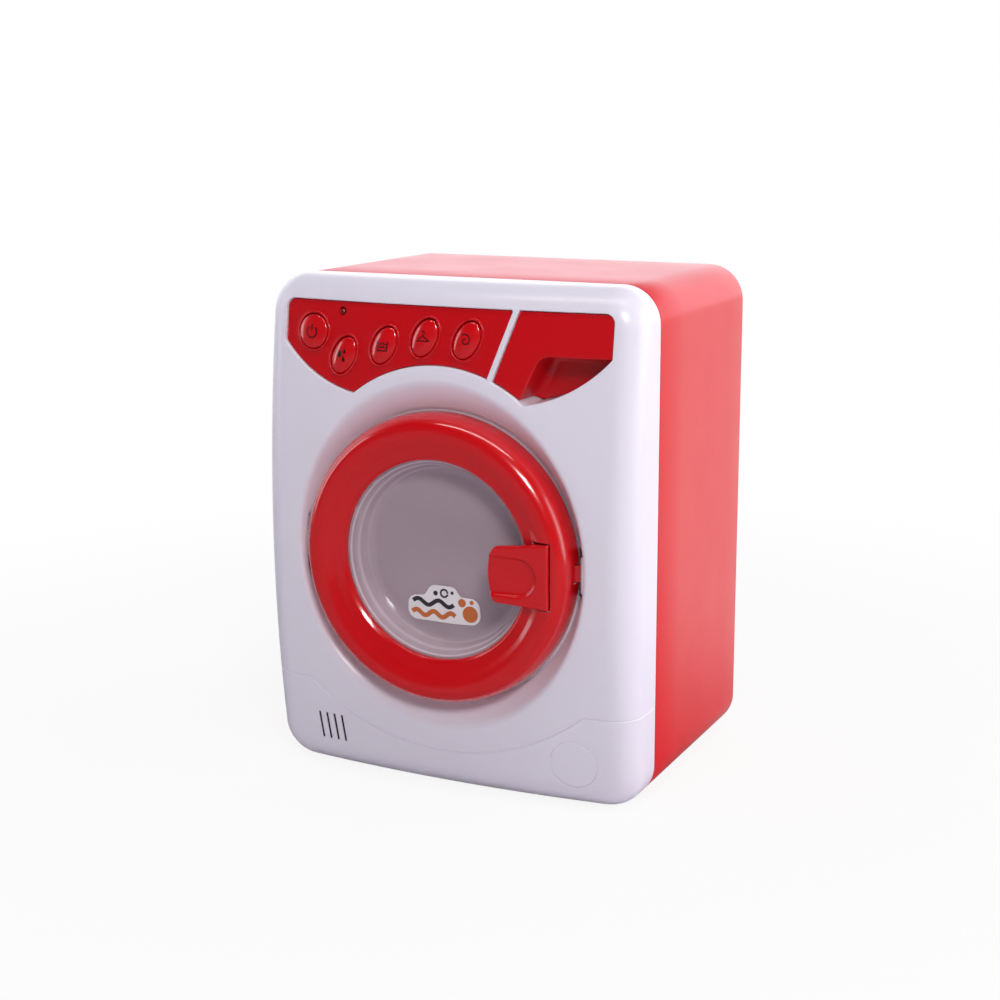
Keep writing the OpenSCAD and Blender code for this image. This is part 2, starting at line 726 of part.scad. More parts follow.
// Outline of the handle seen from the front, middle at z = 0, drawn in by t
module handle_outline(t) {
    hh = handle_h / 2 - t;
    tip = 14.6;
    intersection() {
        translate([handle_tip_x + 20 + t, 0]) circle(20);
        polygon([[handle_tip_x, -tip + 5 + t], [39, -hh], [handle_tip_x + 22, -hh],
            [handle_tip_x + 22, hh],
            [39, hh], [handle_tip_x, tip - 5 - t]]);
    }
    translate([handle_tip_x + 18, -hh]) square([handle_end_x - t - handle_tip_x - 18, 2 * hh]);
}
// Squeezing the free end away from the window turns the handle about its pin and draws the tongue in
module door_handle() color(red) in_case() translate([0, 0, door_z]) {
    difference() {
        union() {
            slab(-handle_proud + 0.7, -2.4) handle_outline(0);
            slab(-handle_proud, -handle_proud + 0.8) handle_outline(0.7);
            tier(-body_hh, body_hh) polygon([[47.4, -2.5], [54.6, -2.5], [54.6, latch_y],
                [53.4, 3], [47.4, 2.6]]);
            tier(-tongue_hh, tongue_hh) polygon([[50, 2], [54, 1], [58.6, 6.4], [tongue_x, 8.2],
                [tongue_x, 9.4],
                [63.4, 10.6], [56.6, 8]]);
        }
        zcyl(latch_x, latch_y, pin_r + slip, -20, 20);
        // thumb scoop, open to the left
        translate([0, 0, -1.2]) {
            slab(-handle_proud - 1, -handle_proud + 1.5) scoop(8.2);
            slab(-handle_proud, -handle_proud + 1.5) scoop(7.2);
        }
    }
}
module scoop(r) {
    translate([41.5, 0]) circle(r);
    translate([20, -r]) square([21.5, 2 * r]);
}
module latch_pin() color(steel) in_case() {
    zcyl(latch_x, latch_y, pin_r, door_z - 17.2, door_z + 17.2);
}
// Small spring between the ring's skin and the handle's arm
module latch_spring() color(steel) in_case() {
    difference() {
        ycyl([57.6, door_z], 1.2, 0.6, 3.75);
        ycyl([57.6, door_z], 0.8, 0, 5);
    }
}
// Leaf that snaps in front of the tongue
module door_catch() color(white) in_case() tier(door_z - 7.6, door_z + 7.6) {
    polygon([[65.2, 6], [66.4, 4.9], [69.6, 6.4], [69.6, 18.4], [68.4, 18.4], [68.4, 8.2], [66.4, 7.4]]);
}

// The drum: a perforated wall between a front rim and a rear plate, with three lifters inside
module drum() color("#d9d5df") in_case() {
    difference() {
        turned() polygon([[drum_r, drum_front + rim_len], [drum_r, drum_back - drum_t],
            [drum_r - drum_t, drum_back - drum_t], [drum_r - drum_t, drum_front + rim_len]]);
        for (k = [0:17], row = [0:2]) translate([0, drum_front + 15 + row * 15, door_z])
            rotate([0, k * 20 + row * 10, 0]) translate([0, 0, drum_r - 3])
            cylinder(r = hole_r, h = 6, $fn = 24);
    }
}
module drum_rim() color("#d9d5df") in_case() {
    turned() polygon([[46, drum_front], [drum_r - 2, drum_front], [drum_r, drum_front + 2],
        [drum_r, drum_front + rim_len], [drum_r - drum_t, drum_front + rim_len],
        [drum_r - drum_t - 0.8, drum_front + drum_t], [46, drum_front + drum_t]]);
}
module drum_back_plate() color("#d9d5df") in_case() difference() {
    union() {
        ycyl([0, door_z], drum_r, drum_back - drum_t, drum_back);
        ycyl([0, door_z], 9, drum_back - 8, drum_back + 4.4);
    }
    ycyl([0, door_z], shaft_r + 0.01, 0, 200);
}
module drum_lifters() color("#d9d5df") in_case() intersection() {
    translate([0, 0, door_z]) for (a = [90, 210, 330]) rotate([0, a, 0])
        slab(drum_front + 8, drum_back - drum_t)
            polygon([[drum_r, -6.2], [drum_r - 11, -2.4], [drum_r - 12, 0], [drum_r - 11, 2.4],
                [drum_r, 6.2]]);
    ycyl([0, door_z], drum_r - drum_t, 0, 200);
}
module drum_shaft() color(steel) in_case() { ycyl([0, door_z], shaft_r, drum_back - 7, 124); }

// Spur gear outline with slim straight-sided teeth, one tooth gap pointing along +x when odd
module gear_outline(n, phase) {
    pitch = n * gear_m / 2;
    tip = pitch + 0.9 * gear_m;
    root = pitch - 1.15 * gear_m;
    step = 360 / n;
    rotate(phase) polygon([for (k = [0:n - 1], q = [[-0.29, root], [-0.115, tip], [0.115, tip],
        [0.29, root]])
        [q[1] * cos((k + q[0]) * step), q[1] * sin((k + q[0]) * step)]]);
}
module gear(p, n, phase, a, b) { slab(a, b) translate(p) gear_outline(n, phase); }
module drum_gear() color("#e8e6df") in_case() difference() {
    union() {
        gear([0, door_z], drum_teeth, idler_dir, gear_y, gear_y + gear_t);
        ycyl([0, door_z], 6, gear_y - 0.4, gear_y + gear_t + 2);
    }
    ycyl([0, door_z], shaft_r + 0.01, 0, 200);
    for (a = [0:60:300]) ycyl([14.5 * cos(a), door_z + 14.5 * sin(a)], 5, gear_y - 1,
        gear_y + gear_t + 1);
}
module drum_bearing() color("#b08d4a") in_case() difference() {
    ycyl([0, door_z], 4.5, plate_y - 4, 120);
    ycyl([0, door_z], shaft_r + slip, 0, 200);
}
module gear_frame() color("#3a3a3f") in_case() difference() {
    union() {
        slab(plate_y, plate_y + plate_t) hull() for (p = frame_feet) translate(p) circle(6, $fn = 32);
        ycyl([0, door_z], 7.5, plate_y - 3, 118);
        for (p = strap_at) ycyl(p, 3, plate_y + 1, plate_y + plate_t + 12);
    }
    ycyl([0, door_z], 4.5 + 0.01, 0, 200);
    ycyl(idler_at, 1.5 + 0.01, 0, 200);
    ycyl(motor_at, 3.2, 0, 200);
    for (p = frame_feet) ycyl(p, screw_r + 0.2, 0, 200);
    for (p = strap_at) ycyl(p, screw_r + slip, plate_y + plate_t + 2, 200);
}
module frame_screws() color(steel) in_case() {
    for (p = frame_feet) screw(p, plate_y, 10, 1);
}
// Small gear in mesh with the drum gear, large gear in mesh with the pinion, in one piece
module idler_gear() color("#e8e6df") in_case() difference() {
    union() {
        gear(idler_at, pinion_teeth, idler_dir + 180 + 18, gear_y - 0.4, idler_y + eps);
        gear(idler_at, idler_teeth, motor_dir, idler_y, idler_y + idler_t);
        ycyl(idler_at, 3, idler_y, plate_y - 0.3);
    }
    ycyl(idler_at, 1.5 + slip, 0, 200);
}
module idler_pin() color(steel) in_case() { ycyl(idler_at, 1.5, gear_y - 1, plate_y + plate_t + 1); }
module motor_pinion() color("#b08d4a") in_case() difference() {
    gear(motor_at, pinion_teeth, motor_dir + 180 + 18, idler_y - 0.6, idler_y + idler_t + 0.6);
    ycyl(motor_at, 1 + 0.01, 0, 200);
}
module motor_shaft() color(steel) in_case() { ycyl(motor_at, 1, idler_y - 0.6, plate_y + 12); }
module motor() color("#9a9ca2") in_case() {
    a = plate_y + plate_t;
    difference() {
        union() {
            ycyl(motor_at, 3, a - 1.6, a + 1);
            slab(a, a + 25) intersection() {
                translate(motor_at) circle(10);
                translate(motor_at) square([24, 15.4], center = true);
            }
            ycyl(motor_at, 2.2, a + 24, a + 26.4);
            for (s = [-1, 1]) translate([motor_at[0] + s * 6 - 0.2, a + 24, motor_at[1] - 1.2])
                cube([0.4, 4, 2.4]);
        }
        ycyl(motor_at, 1 + slip, 0, a + 12);
    }
}
module motor_strap() color("#3a3a3f") in_case() difference() {
    a = plate_y + plate_t;
    slab(a + 12, a + 14.4) {
        hull() for (p = strap_at) translate(p) circle(3.4, $fn = 32);
        translate(motor_at) square([27, 19], center = true);
    }
    slab(0, 200) intersection() {
        translate(motor_at) circle(10.1);
        translate(motor_at) square([24, 15.6], center = true);
    }
    for (p = strap_at) ycyl(p, screw_r + 0.2, 0, 200);
}
module strap_screws() color(steel) in_case() {
    for (p = strap_at) screw(p, plate_y + plate_t + 14.4, 9, -1);
}

module battery_box() color(black) in_case() {
    difference() {
        translate([-box_hw, box_y, box_z[0]]) cube([2 * box_hw, floor_y - box_y, box_z[1] - box_z[0]]);
        translate([-box_hw + box_t, box_y + box_t, box_z[0] + box_t])
            cube([2 * (box_hw - box_t), 40, box_z[1] - box_z[0] - 2 * box_t]);
    }
    // ribs between the cells, and the post for the door screw
    for (z = [cell_z[0] + cell_pitch / 2, cell_z[1] + cell_pitch / 2], x = [-20, 16])
        translate([x, box_y + 1, z - 0.5]) cube([4, 7, 1]);
    difference() {
        translate([-4, box_y + 1, screw_z - 2.3]) cube([8, floor_y - box_y - 1.4,
            box_z[1] - screw_z + 1.3]);
        ycyl([0, screw_z], 0.9, floor_y - 9, 200);
    }
}
// The cells lie alternately, each nub against its plate
module battery_cells() color("#3d6d8f") in_case() {
    for (k = [0:2]) translate([0, cell_y, cell_z[k]]) rotate([0, k % 2 == 0 ? 90 : -90, 0])
        translate([0, 0, cell_shift]) {
            translate([0, 0, -cell_l / 2]) cylinder(r = cell_r, h = cell_l);
            cylinder(r = 2.7, h = cell_l / 2 + 1.3);
        }
}
// Coil springs at the flat ends of the cells, as plain tapered sleeves
module contact_springs() color(steel) in_case() {
    long = box_hw - box_t - 0.5 - cell_l / 2 + cell_shift - 0.02;
    for (k = [0:2]) translate([0, cell_y, cell_z[k]]) rotate([0, k % 2 == 0 ? -90 : 90, 0])
        translate([0, 0, cell_l / 2 - cell_shift + 0.01]) difference() {
            cylinder(r1 = 3, r2 = 5, h = long);
            translate([0, 0, -eps]) cylinder(r1 = 2.4, r2 = 4.4, h = long + 2 * eps);
        }
}
module contact_plates() color(steel) in_case() {
    inner = box_hw - box_t;
    for (s = [-1, 1], k = [0:2]) translate([s > 0 ? inner - 0.5 : -inner, cell_y - 6, cell_z[k] - 6])
        cube([0.5, 12, 12]);
}
module battery_door() color(red) in_case() difference() {
    union() {
        translate([-box_hw + box_t + 0.25, case_d - door_t, box_z[0] + box_t + 0.25])
            cube([2 * (box_hw - box_t) - 0.5, door_t, box_z[1] - box_z[0] - 2 * box_t - 0.5]);
        for (s = [-1, 1]) translate([s * 20 - 4, case_d - door_t - 1.6, box_z[0] + box_t + 0.4])
            cube([8, 2, 1.4]);
    }
    ycyl([0, screw_z], 1.2, 0, 200);
    for (k = [0:5]) translate([-10.8 + k * 4, case_d - 0.4, 11]) cube([1.6, 0.8, 6]);
}
module battery_door_screw() color(steel) in_case() {
    screw([0, screw_z], case_d, 7, -1, 0.85, 1.6, 0.7);
}

module speaker() color("#4a4a50") in_case() difference() {
    union() {
        ycyl(speaker_at, speaker_r, speaker_y, speaker_y + 3);
        ycyl(speaker_at, 7.5, speaker_y + 2, speaker_y + 8);
    }
    translate([speaker_at[0], speaker_y - 8, speaker_at[1]]) sphere(r = 12.4);
}
module speaker_retainer() color(black) in_case() difference() {
    slab(speaker_y + 3, speaker_y + 4.6) {
        translate(speaker_at) circle(speaker_r + 1.8);
        for (p = speaker_ears) translate(p) circle(3);
    }
    ycyl(speaker_at, 9, 0, 60);
    for (p = speaker_ears) ycyl(p, screw_r + 0.2, 0, 60);
}
module speaker_screws() color(steel) in_case() {
    for (p = speaker_ears) screw(p, speaker_y + 4.6, 5, -1);
}

front_shell();
rear_housing();
case_screws();
control_panel();
panel_screws();
status_led();
circuit_board();
board_parts();
board_screws();
power_button();
rinse_button();
wash_button();
clothes_button();
spin_button();
power_dome();
rinse_dome();
wash_dome();
clothes_dome();
spin_dome();
detergent_drawer();
drawer_guide();
door_ring();
door_window();
window_sticker();
door_back();
door_screws();
hinge_pin();
door_handle();
latch_pin();
latch_spring();
door_catch();
drum();
drum_rim();
drum_back_plate();
drum_lifters();
drum_shaft();
drum_gear();
drum_bearing();
gear_frame();
frame_screws();
idler_gear();
idler_pin();
motor_pinion();
motor_shaft();
motor();
motor_strap();
strap_screws();
battery_box();
battery_cells();
contact_springs();
contact_plates();
battery_door();
battery_door_screw();
speaker();
speaker_retainer();
speaker_screws();
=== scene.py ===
import math

import bmesh
import bpy
import numpy as np
from mathutils import Matrix, Vector
from mathutils.geometry import delaunay_2d_cdt


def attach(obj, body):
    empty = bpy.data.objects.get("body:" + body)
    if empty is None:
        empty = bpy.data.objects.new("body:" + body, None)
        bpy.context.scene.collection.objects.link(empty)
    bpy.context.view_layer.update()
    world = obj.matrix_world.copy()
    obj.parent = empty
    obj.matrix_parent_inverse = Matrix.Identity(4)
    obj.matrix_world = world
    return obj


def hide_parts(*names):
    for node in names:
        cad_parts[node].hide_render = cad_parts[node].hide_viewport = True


# Toy washing machine: smooth visible forms and moulded-plastic materials round the CAD frame.
# Lengths are millimetres, with x to the right, y into the machine from the foremost point of the
# bulged face, and z up; place() turns them into the frame's metres. Node sizes are in metres.

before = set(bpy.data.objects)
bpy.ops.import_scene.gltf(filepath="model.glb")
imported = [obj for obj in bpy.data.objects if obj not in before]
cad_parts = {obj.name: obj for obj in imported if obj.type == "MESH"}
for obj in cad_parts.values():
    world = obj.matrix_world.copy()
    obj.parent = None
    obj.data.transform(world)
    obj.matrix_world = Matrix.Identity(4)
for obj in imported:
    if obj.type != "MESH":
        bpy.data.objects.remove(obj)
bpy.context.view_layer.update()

# Case: outer size, corner and edge rounds, wall, and the seam between its two halves
CASE_W, CASE_H, CASE_D = 176.0, 220.0, 139.0
CORNER_R, EDGE_R, WALL = 16.0, 11.2, 2.4
SEAM_Y, SEAM_GAP, SEAM_ROUND = 33.6, 0.25, 0.45
# Ball that the bulged face is cut from, its foremost height, and that point's y in the frame
FACE_R, CROWN_Z, FACE_Y = 650.0, 106.6, -67.0
# Door: height of its axis, outer radius of the ring, inner radius of its rim, and the clear bowl
DOOR_Z, RING_R, RIM_R = 103.8, 62.5, 43.1
BOWL_DEPTH, BOWL_WALL = 14.0, 1.5
# Recess round the door: half width and height at the face, radius and depth of its floor, its mouth
DISH_A, DISH_B, DISH_BASE, DISH_Y, MOUTH_R = 67.5, 76.0, RING_R + 0.8, 11.8, 47.0
# Hinge arms: how far above and below the door's axis
HINGE_Z = 9.6
# Handle: outer end, half height, how proud; thumb scoop with its wall; half width of the tongue
GRIP_END, GRIP_HH, GRIP_PROUD = 55.0, 13.7, 5.0
SCOOP_X, SCOOP_Z, SCOOP_R, SCOOP_WALL = 41.5, -1.2, 8.6, 1.4
TONGUE_HW = 3.5
# Drawer: top of the finger pocket, its depth, its walls, and the far end of the tray
POCKET_TOP, POCKET_DEEP, DRAWER_T, TRAY_END = 192.0, 14.0, 1.6, 62.0
# Visor-shaped opening: half width, top, corner; the arcs below; the leaning bar that divides it
VISOR_HW, VISOR_TOP, VISOR_CORNER = 76.4, 210.1, 4.0
ARC_X, ARC_Z, ARC_R = 30.1, 232.9, 61.7
OVER_Z, OVER_R = 121.8, 64.0
BAR_W, BAR_TOP, BAR_LOW = 2.5, (35.0, 211.0), (24.0, 180.4)
# Panel: how far below the face, thickness, gap round what sits in it
PANEL_SINK, PANEL_T, GAP = 1.2, 3.0, 0.35
BOARD_Y = 20.0      # face of the circuit board
# Buttons: middles, half sizes and lean of the ovals, radius of the round one, height of the domes
BUTTONS = {"power": (-61.5, 196.7), "rinse": (-45.5, 187.6), "wash": (-25.6, 192.8),
           "clothes": (-6.2, 197.0), "spin": (13.3, 197.0)}
OVAL_A, OVAL_B, OVAL_LEAN, POWER_R, DOME_PROUD = 8.3, 5.5, 27.0, 7.2, 2.3
LED_AT, LED_R = (-47.4, 205.8), 1.5
SPEAKER_AT = (-56.3, 19.8)
# Lines moulded into the face: the circle and the skirt line, their width and depth
BADGE_AT, BADGE_R = (61.0, 20.5), 10.4
SKIRT_R, SKIRT_Z, SKIRT_SIDE_Z = 102.8, 121.0, 42.3
LINE_HW, LINE_DEEP, LINE_NICK = 0.4, 0.42, 0.25
# Rear wall: opening of the battery door, middles of the four screw wells, depth of the screws' seats
BATTERY_X, BATTERY_Z = 29.0, (5.1, 57.9)
WELLS = [(-77, 14), (77, 14), (-77, 158), (77, 158)]
SEAT_Y = 39.0
# Sticker in the bowl
STICKER_AT, STICKER_Y, STICKER_SCALE = (-2.3, DOOR_Z - 22.9), BOWL_DEPTH - 0.2, 1.1


# Materials

def srgb(code):
    """Linear colour of an sRGB hex value."""
    parts = [int(code[i:i + 2], 16) / 255 for i in (1, 3, 5)]
    return [c / 12.92 if c <= 0.04045 else ((c + 0.055) / 1.055) ** 2.4 for c in parts] + [1.0]


def node(tree, kind, links=None, **settings):
    """Adds a node. Settings name its properties or inputs. Links feed its inputs from a socket,
    from another node's first output, or with a plain value."""
    made = tree.nodes.new(kind)
    for key, value in settings.items():
        match = [s for s in made.inputs if s.name.lower() == key.replace("_", " ").lower()]
        if match:
            match[0].default_value = value
        else:
            setattr(made, key, value)
    for key, source in (links or {}).items():
        if isinstance(source, bpy.types.Node):
            source = source.outputs[0]
        if isinstance(source, bpy.types.NodeSocket):
            tree.links.new(source, made.inputs[key])
        else:
            made.inputs[key].default_value = source
    return made


def material(name):
    """A new material with an empty node tree."""
    made = bpy.data.materials.new(name)
    made.use_nodes = True
    made.node_tree.nodes.clear()
    return made, made.node_tree


def plastic(name, colour, deep, roughness=0.3, mottle=0.03, grain=0.0, scale=900.0, coat=0.0,
            ior=1.53, wave=0.05):
    """Moulded plastic: faint cloudiness of the pigment, uneven gloss and a fine skin texture.
    Noise scales are per metre: clouds about 26 mm across, sink marks 42 mm, and a skin of 1.1 mm,
    drawn coarser than the real one so that it shows."""
    made, tree = material(name)
    at = node(tree, "ShaderNodeTexCoord").outputs["Object"]
    cloud = node(tree, "ShaderNodeTexNoise", {"Vector": at}, Scale=38.0, Detail=3.0, Roughness=0.55)
    tint = node(tree, "ShaderNodeMix", {"Factor": cloud, 6: srgb(colour), 7: srgb(deep)}, data_type="RGBA")
    gloss = node(tree, "ShaderNodeMapRange", {"Value": cloud}, From_Min=0.3, From_Max=0.7,
                 To_Min=roughness - mottle, To_Max=roughness + mottle)
    fine = node(tree, "ShaderNodeTexNoise", {"Vector": at}, Scale=scale, Detail=2.0)
    sink = node(tree, "ShaderNodeTexNoise", {"Vector": at}, Scale=24.0, Detail=1.0)
    low = node(tree, "ShaderNodeBump", {"Height": sink}, Strength=wave, Distance=0.0006)
    high = node(tree, "ShaderNodeBump", {"Height": fine, "Normal": low},
                Strength=0.02 + grain, Distance=0.0001)
    shader = node(tree, "ShaderNodeBsdfPrincipled", {
        "Base Color": tint.outputs[2], "Roughness": gloss, "Normal": high, "IOR": ior,
        "Coat Weight": coat, "Coat Roughness": 0.06})
    node(tree, "ShaderNodeOutputMaterial", {"Surface": shader})
    return made


def metal(name, colour, roughness, stretch=(1, 1, 1)):
    """Metal with fine drawn or turned lines and slightly uneven gloss. The lines are 1.4 mm apart,
    coarser than the real ones so that they show."""
    made, tree = material(name)
    at = node(tree, "ShaderNodeTexCoord").outputs["Object"]
    along = node(tree, "ShaderNodeMapping", {"Vector": at, "Scale": stretch})
    line = node(tree, "ShaderNodeTexNoise", {"Vector": along}, Scale=700.0, Detail=3.0)
    gloss = node(tree, "ShaderNodeMapRange", {"Value": line}, From_Min=0.3, From_Max=0.7,
                 To_Min=roughness * 0.75, To_Max=roughness * 1.3)
    bump = node(tree, "ShaderNodeBump", {"Height": line}, Strength=0.08, Distance=0.0001)
    shader = node(tree, "ShaderNodeBsdfPrincipled", {
        "Base Color": srgb(colour), "Roughness": gloss, "Normal": bump}, Metallic=1.0)
    node(tree, "ShaderNodeOutputMaterial", {"Surface": shader})
    return made


def clear_plastic(name, colour, highlight_colour, alpha, roughness, highlight_rings):
    """Clear moulded polycarbonate, faintly milky in clouds of about 45 mm; pale rings painted along its
    round edges, also less clear there, are a painted highlight of the light these edges catch."""
    made, tree = material(name)
    at = node(tree, "ShaderNodeTexCoord").outputs["Object"]
    haze = node(tree, "ShaderNodeTexNoise", {"Vector": at}, Scale=22.0, Detail=2.0)
    see = node(tree, "ShaderNodeMapRange", {"Value": haze}, From_Min=0.3, From_Max=0.7,
               To_Min=alpha - 0.02, To_Max=alpha + 0.02)
    # distance from the bowl's axis, for the painted highlight rings along its edges; the ramp ends at 50 mm
    end = 50
    centred = node(tree, "ShaderNodeMapping", {
        "Vector": at, "Location": (0, 0, -DOOR_Z / 1000), "Scale": (1, 0, 1)})
    far = node(tree, "ShaderNodeVectorMath", {0: centred}, operation="LENGTH").outputs["Value"]
    share = node(tree, "ShaderNodeMapRange", {"Value": far}, From_Min=0.0, From_Max=end / 1000)
    rings = node(tree, "ShaderNodeValToRGB", {"Fac": share})
    ramp = rings.color_ramp
    ramp.elements[0].color = ramp.elements[1].color = (0, 0, 0, 1)
    for middle, half, level in highlight_rings:
        for r, value in ((middle - half, 0), (middle, level), (middle + half, 0)):
            ramp.elements.new(r / end).color = (value, value, value, 1)
    tint = node(tree, "ShaderNodeMix", {"Factor": rings, 6: srgb(colour), 7: srgb(highlight_colour)},
                data_type="RGBA")
    # painted highlight: the rings also make the plastic less clear
    thick = node(tree, "ShaderNodeMath", {0: see, 1: rings}, operation="ADD")
    bump = node(tree, "ShaderNodeBump", {"Height": haze}, Strength=0.04, Distance=0.0006)
    shader = node(tree, "ShaderNodeBsdfPrincipled", {
        "Base Color": tint.outputs[2], "Alpha": thick, "Normal": bump}, Roughness=roughness, IOR=1.585)
    node(tree, "ShaderNodeOutputMaterial", {"Surface": shader})
    return made


# Injection-moulded ABS from a polished mould: even colour, soft reflections, faint sink marks
WHITE_ABS = plastic("white_abs_moulded", "#e8e3ef", "#e6e0ed", mottle=0.01, wave=0.0)
RED_ABS = plastic("red_abs_moulded", "#d60a15", "#ce0813", roughness=0.2, mottle=0.02, coat=0.5)
CASE_RED = plastic("red_abs_case", "#dc1420", "#d4101b", mottle=0.02, grain=0.02)
PANEL_RED = plastic("red_abs_panel", "#cf0a17", "#c70814", roughness=0.24, mottle=0.02)
# The same ABS from a mould that isn't polished: duller; the inner red and the grey drum are set darker as
# painted shade of the machine's inside
INNER_RED_SHADED = plastic("red_abs_inner_painted_shade", "#a8060f", "#9c050d", roughness=0.42, grain=0.05)
# painted shade: the drum is white plastic, painted grey-lilac
DRUM_SHADED_GREY = plastic("drum_abs_painted_shade", "#b9b2bf", "#b0a9b7", roughness=0.36)
BLACK_ABS = plastic("black_abs_moulded", "#202024", "#1b1b1f", roughness=0.45, grain=0.06)
# Acetal gears: waxy, off-white
ACETAL = plastic("acetal_moulded", "#e8e6dd", "#e0ded4", roughness=0.38)
# Silicone rubber keypad: matt and slightly dusty
SILICONE = plastic("silicone_rubber", "#85878c", "#7c7e84", roughness=0.62, grain=0.04, ior=1.43)
# Glass-fibre board under green solder mask: glossy, with its 0.7 mm weave just showing
BOARD = plastic("solder_mask_board", "#2f7a45", "#2a6f3f", scale=1500.0, grain=0.03)
# Clear tinted epoxy of the light: glassy and deep red
LED_LENS = plastic("tinted_epoxy_lens", "#7a060c", "#6a050a", roughness=0.12, ior=1.55)
# Printed shrink wrap of a battery cell: tight and glossy
CELL_WRAP = plastic("shrink_wrap_cell", "#2f6287", "#29587a", roughness=0.22)
# Vinyl label stock and the inks on it: smooth, a little softer than the plastic under it
VINYL_WHITE = plastic("vinyl_label_white", "#f2eef2", "#ebe6ea")
VINYL_CHARCOAL = plastic("vinyl_print_charcoal", "#3a3438", "#332d31", roughness=0.32)
VINYL_ORANGE = plastic("vinyl_print_orange", "#d4743a", "#c96a32", roughness=0.32)
# Pad-printed ink on the buttons: thin, slightly matt
INK = plastic("pad_print_ink", "#1c0709", "#160507", roughness=0.4)
# Clear polycarbonate bowl: middle radius, half width (mm) and strength of each painted highlight ring
POLYCARBONATE = clear_plastic("polycarbonate_clear", "#dcc6d1", "#f6eef4", 0.43, 0.05,
                              [(38.2, 0.6, 0.15), (40.2, 0.5, 0.3), (41.9, 0.35, 0.5)])
# Zinc-plated screws and pins: bright, faintly blue-grey; drawn wire is a little smoother
ZINC_STEEL = metal("zinc_plated_steel", "#b4b7bc", 0.3)
SPRING_STEEL = metal("spring_steel_wire", "#a9adb4", 0.25)
# Deep-drawn can of the motor, with lines along its length
MOTOR_CAN = metal("plated_motor_can", "#a3a6ab", 0.34, stretch=(1, 6, 1))
# Turned brass bearing and pinion: warm yellow
BRASS = metal("turned_brass", "#c09a4a", 0.28)
# Nickel-plated strip of the battery contacts: warmer and glossier than the zinc
TINPLATE = metal("nickel_plated_strip", "#b9b6ac", 0.22)


# Places and curves

def place(p):
    """Millimetres of this file as metres of the frame."""
    return (p[0] / 1000, (p[1] + FACE_Y) / 1000, p[2] / 1000)


def crown(x, z):
    """Depth of the bulged face."""
    return FACE_R - np.sqrt(FACE_R ** 2 - np.square(x) - np.square(np.asarray(z) - CROWN_Z))


def rounded(corners, step=12.0):
    """Closed outline from (u, v, radius) corners, each corner replaced by its arc."""
    out = []
    count = len(corners)
    for i, (u, v, r) in enumerate(corners):
        p = np.array([u, v], float)
        if r <= 0:
            out.append(p)
            continue
        a = np.array(corners[i - 1][:2], float) - p
        b = np.array(corners[(i + 1) % count][:2], float) - p
        la, lb = np.linalg.norm(a), np.linalg.norm(b)
        a, b = a / la, b / lb
        half = math.acos(max(-1.0, min(1.0, float(a @ b)))) / 2
        if half > math.radians(89.5):
            out.append(p)
            continue
        r = min(r, 0.49 * min(la, lb) * math.tan(half))
        centre = p + (a + b) / np.linalg.norm(a + b) * r / math.sin(half)
        start, end = p + a * r / math.tan(half) - centre, p + b * r / math.tan(half) - centre
        sweep = math.pi - 2 * half
        turn = math.copysign(1.0, start[0] * end[1] - start[1] * end[0])
        pieces = max(2, int(math.ceil(math.degrees(sweep) / step)))
        for k in range(pieces + 1):
            t = turn * sweep * k / pieces
            c, s = math.cos(t), math.sin(t)
            out.append(centre + np.array([c * start[0] - s * start[1], s * start[0] + c * start[1]]))
    return np.array(out)


def resample(loop, spacing):
    """Adds points along the long stretches of a closed outline."""
    out = []
    for i, p in enumerate(loop):
        q = loop[(i + 1) % len(loop)]
        pieces = max(1, int(math.ceil(np.linalg.norm(q - p) / spacing)))
        out += [p + (q - p) * k / pieces for k in range(pieces)]
    return np.array(out)


def ccw(loop):
    """A closed outline turned counter-clockwise."""
    x, z = loop[:, 0], loop[:, 1]
    area = np.sum(x * np.roll(z, -1) - np.roll(x, -1) * z)
    return loop if area > 0 else loop[::-1]


def grow(loop, d):
    """Moves every point of a closed counter-clockwise outline outwards by d."""
    before, after = np.roll(loop, 1, axis=0), np.roll(loop, -1, axis=0)
    e1, e2 = loop - before, after - loop
    e1 /= np.maximum(np.linalg.norm(e1, axis=1, keepdims=True), 1e-9)
    e2 /= np.maximum(np.linalg.norm(e2, axis=1, keepdims=True), 1e-9)
    n1, n2 = np.stack([e1[:, 1], -e1[:, 0]], 1), np.stack([e2[:, 1], -e2[:, 0]], 1)
    n = n1 + n2
    n /= np.maximum(np.sum(n * n1, axis=1, keepdims=True), 0.4)
    return loop + n * d


def inside(points, loop):
    """Which points lie inside a closed outline."""
    x, z = points[:, 0][:, None], points[:, 1][:, None]
    ax, az = loop[:, 0], loop[:, 1]
    bx, bz = np.roll(ax, -1), np.roll(az, -1)
    out = np.zeros(len(points), bool)
    for k in range(0, len(points), 4000):
        xs, zs = x[k:k + 4000], z[k:k + 4000]
        crosses = (az > zs) != (bz > zs)
        with np.errstate(divide="ignore", invalid="ignore"):
            at = ax + (zs - az) * (bx - ax) / (bz - az)
        out[k:k + 4000] = (np.sum(crosses & (xs < at), axis=1) % 2) == 1
    return out


def near(points, others, reach):
    """Which points lie within reach of any of the others."""
    out = np.zeros(len(points), bool)
    for k in range(0, len(points), 2000):
        d = points[k:k + 2000, None, :] - others[None, :, :]
        out[k:k + 2000] = (np.sum(d * d, axis=2) < reach * reach).any(axis=1)
    return out


def crossing(a, b, loop, last=False):
    """Where the stretch from a to b meets a closed outline, first or last."""
    s = np.roll(loop, -1, axis=0) - loop
    r, gap = b - a, loop - a
    turn = r[0] * s[:, 1] - r[1] * s[:, 0]
    turn = np.where(np.abs(turn) < 1e-12, 1e-12, turn)
    along = (gap[:, 0] * s[:, 1] - gap[:, 1] * s[:, 0]) / turn
    across = (gap[:, 0] * r[1] - gap[:, 1] * r[0]) / turn
    hits = along[(along >= 0) & (along <= 1) & (across >= 0) & (across <= 1)]
    return a + r * (hits.max() if last else hits.min())


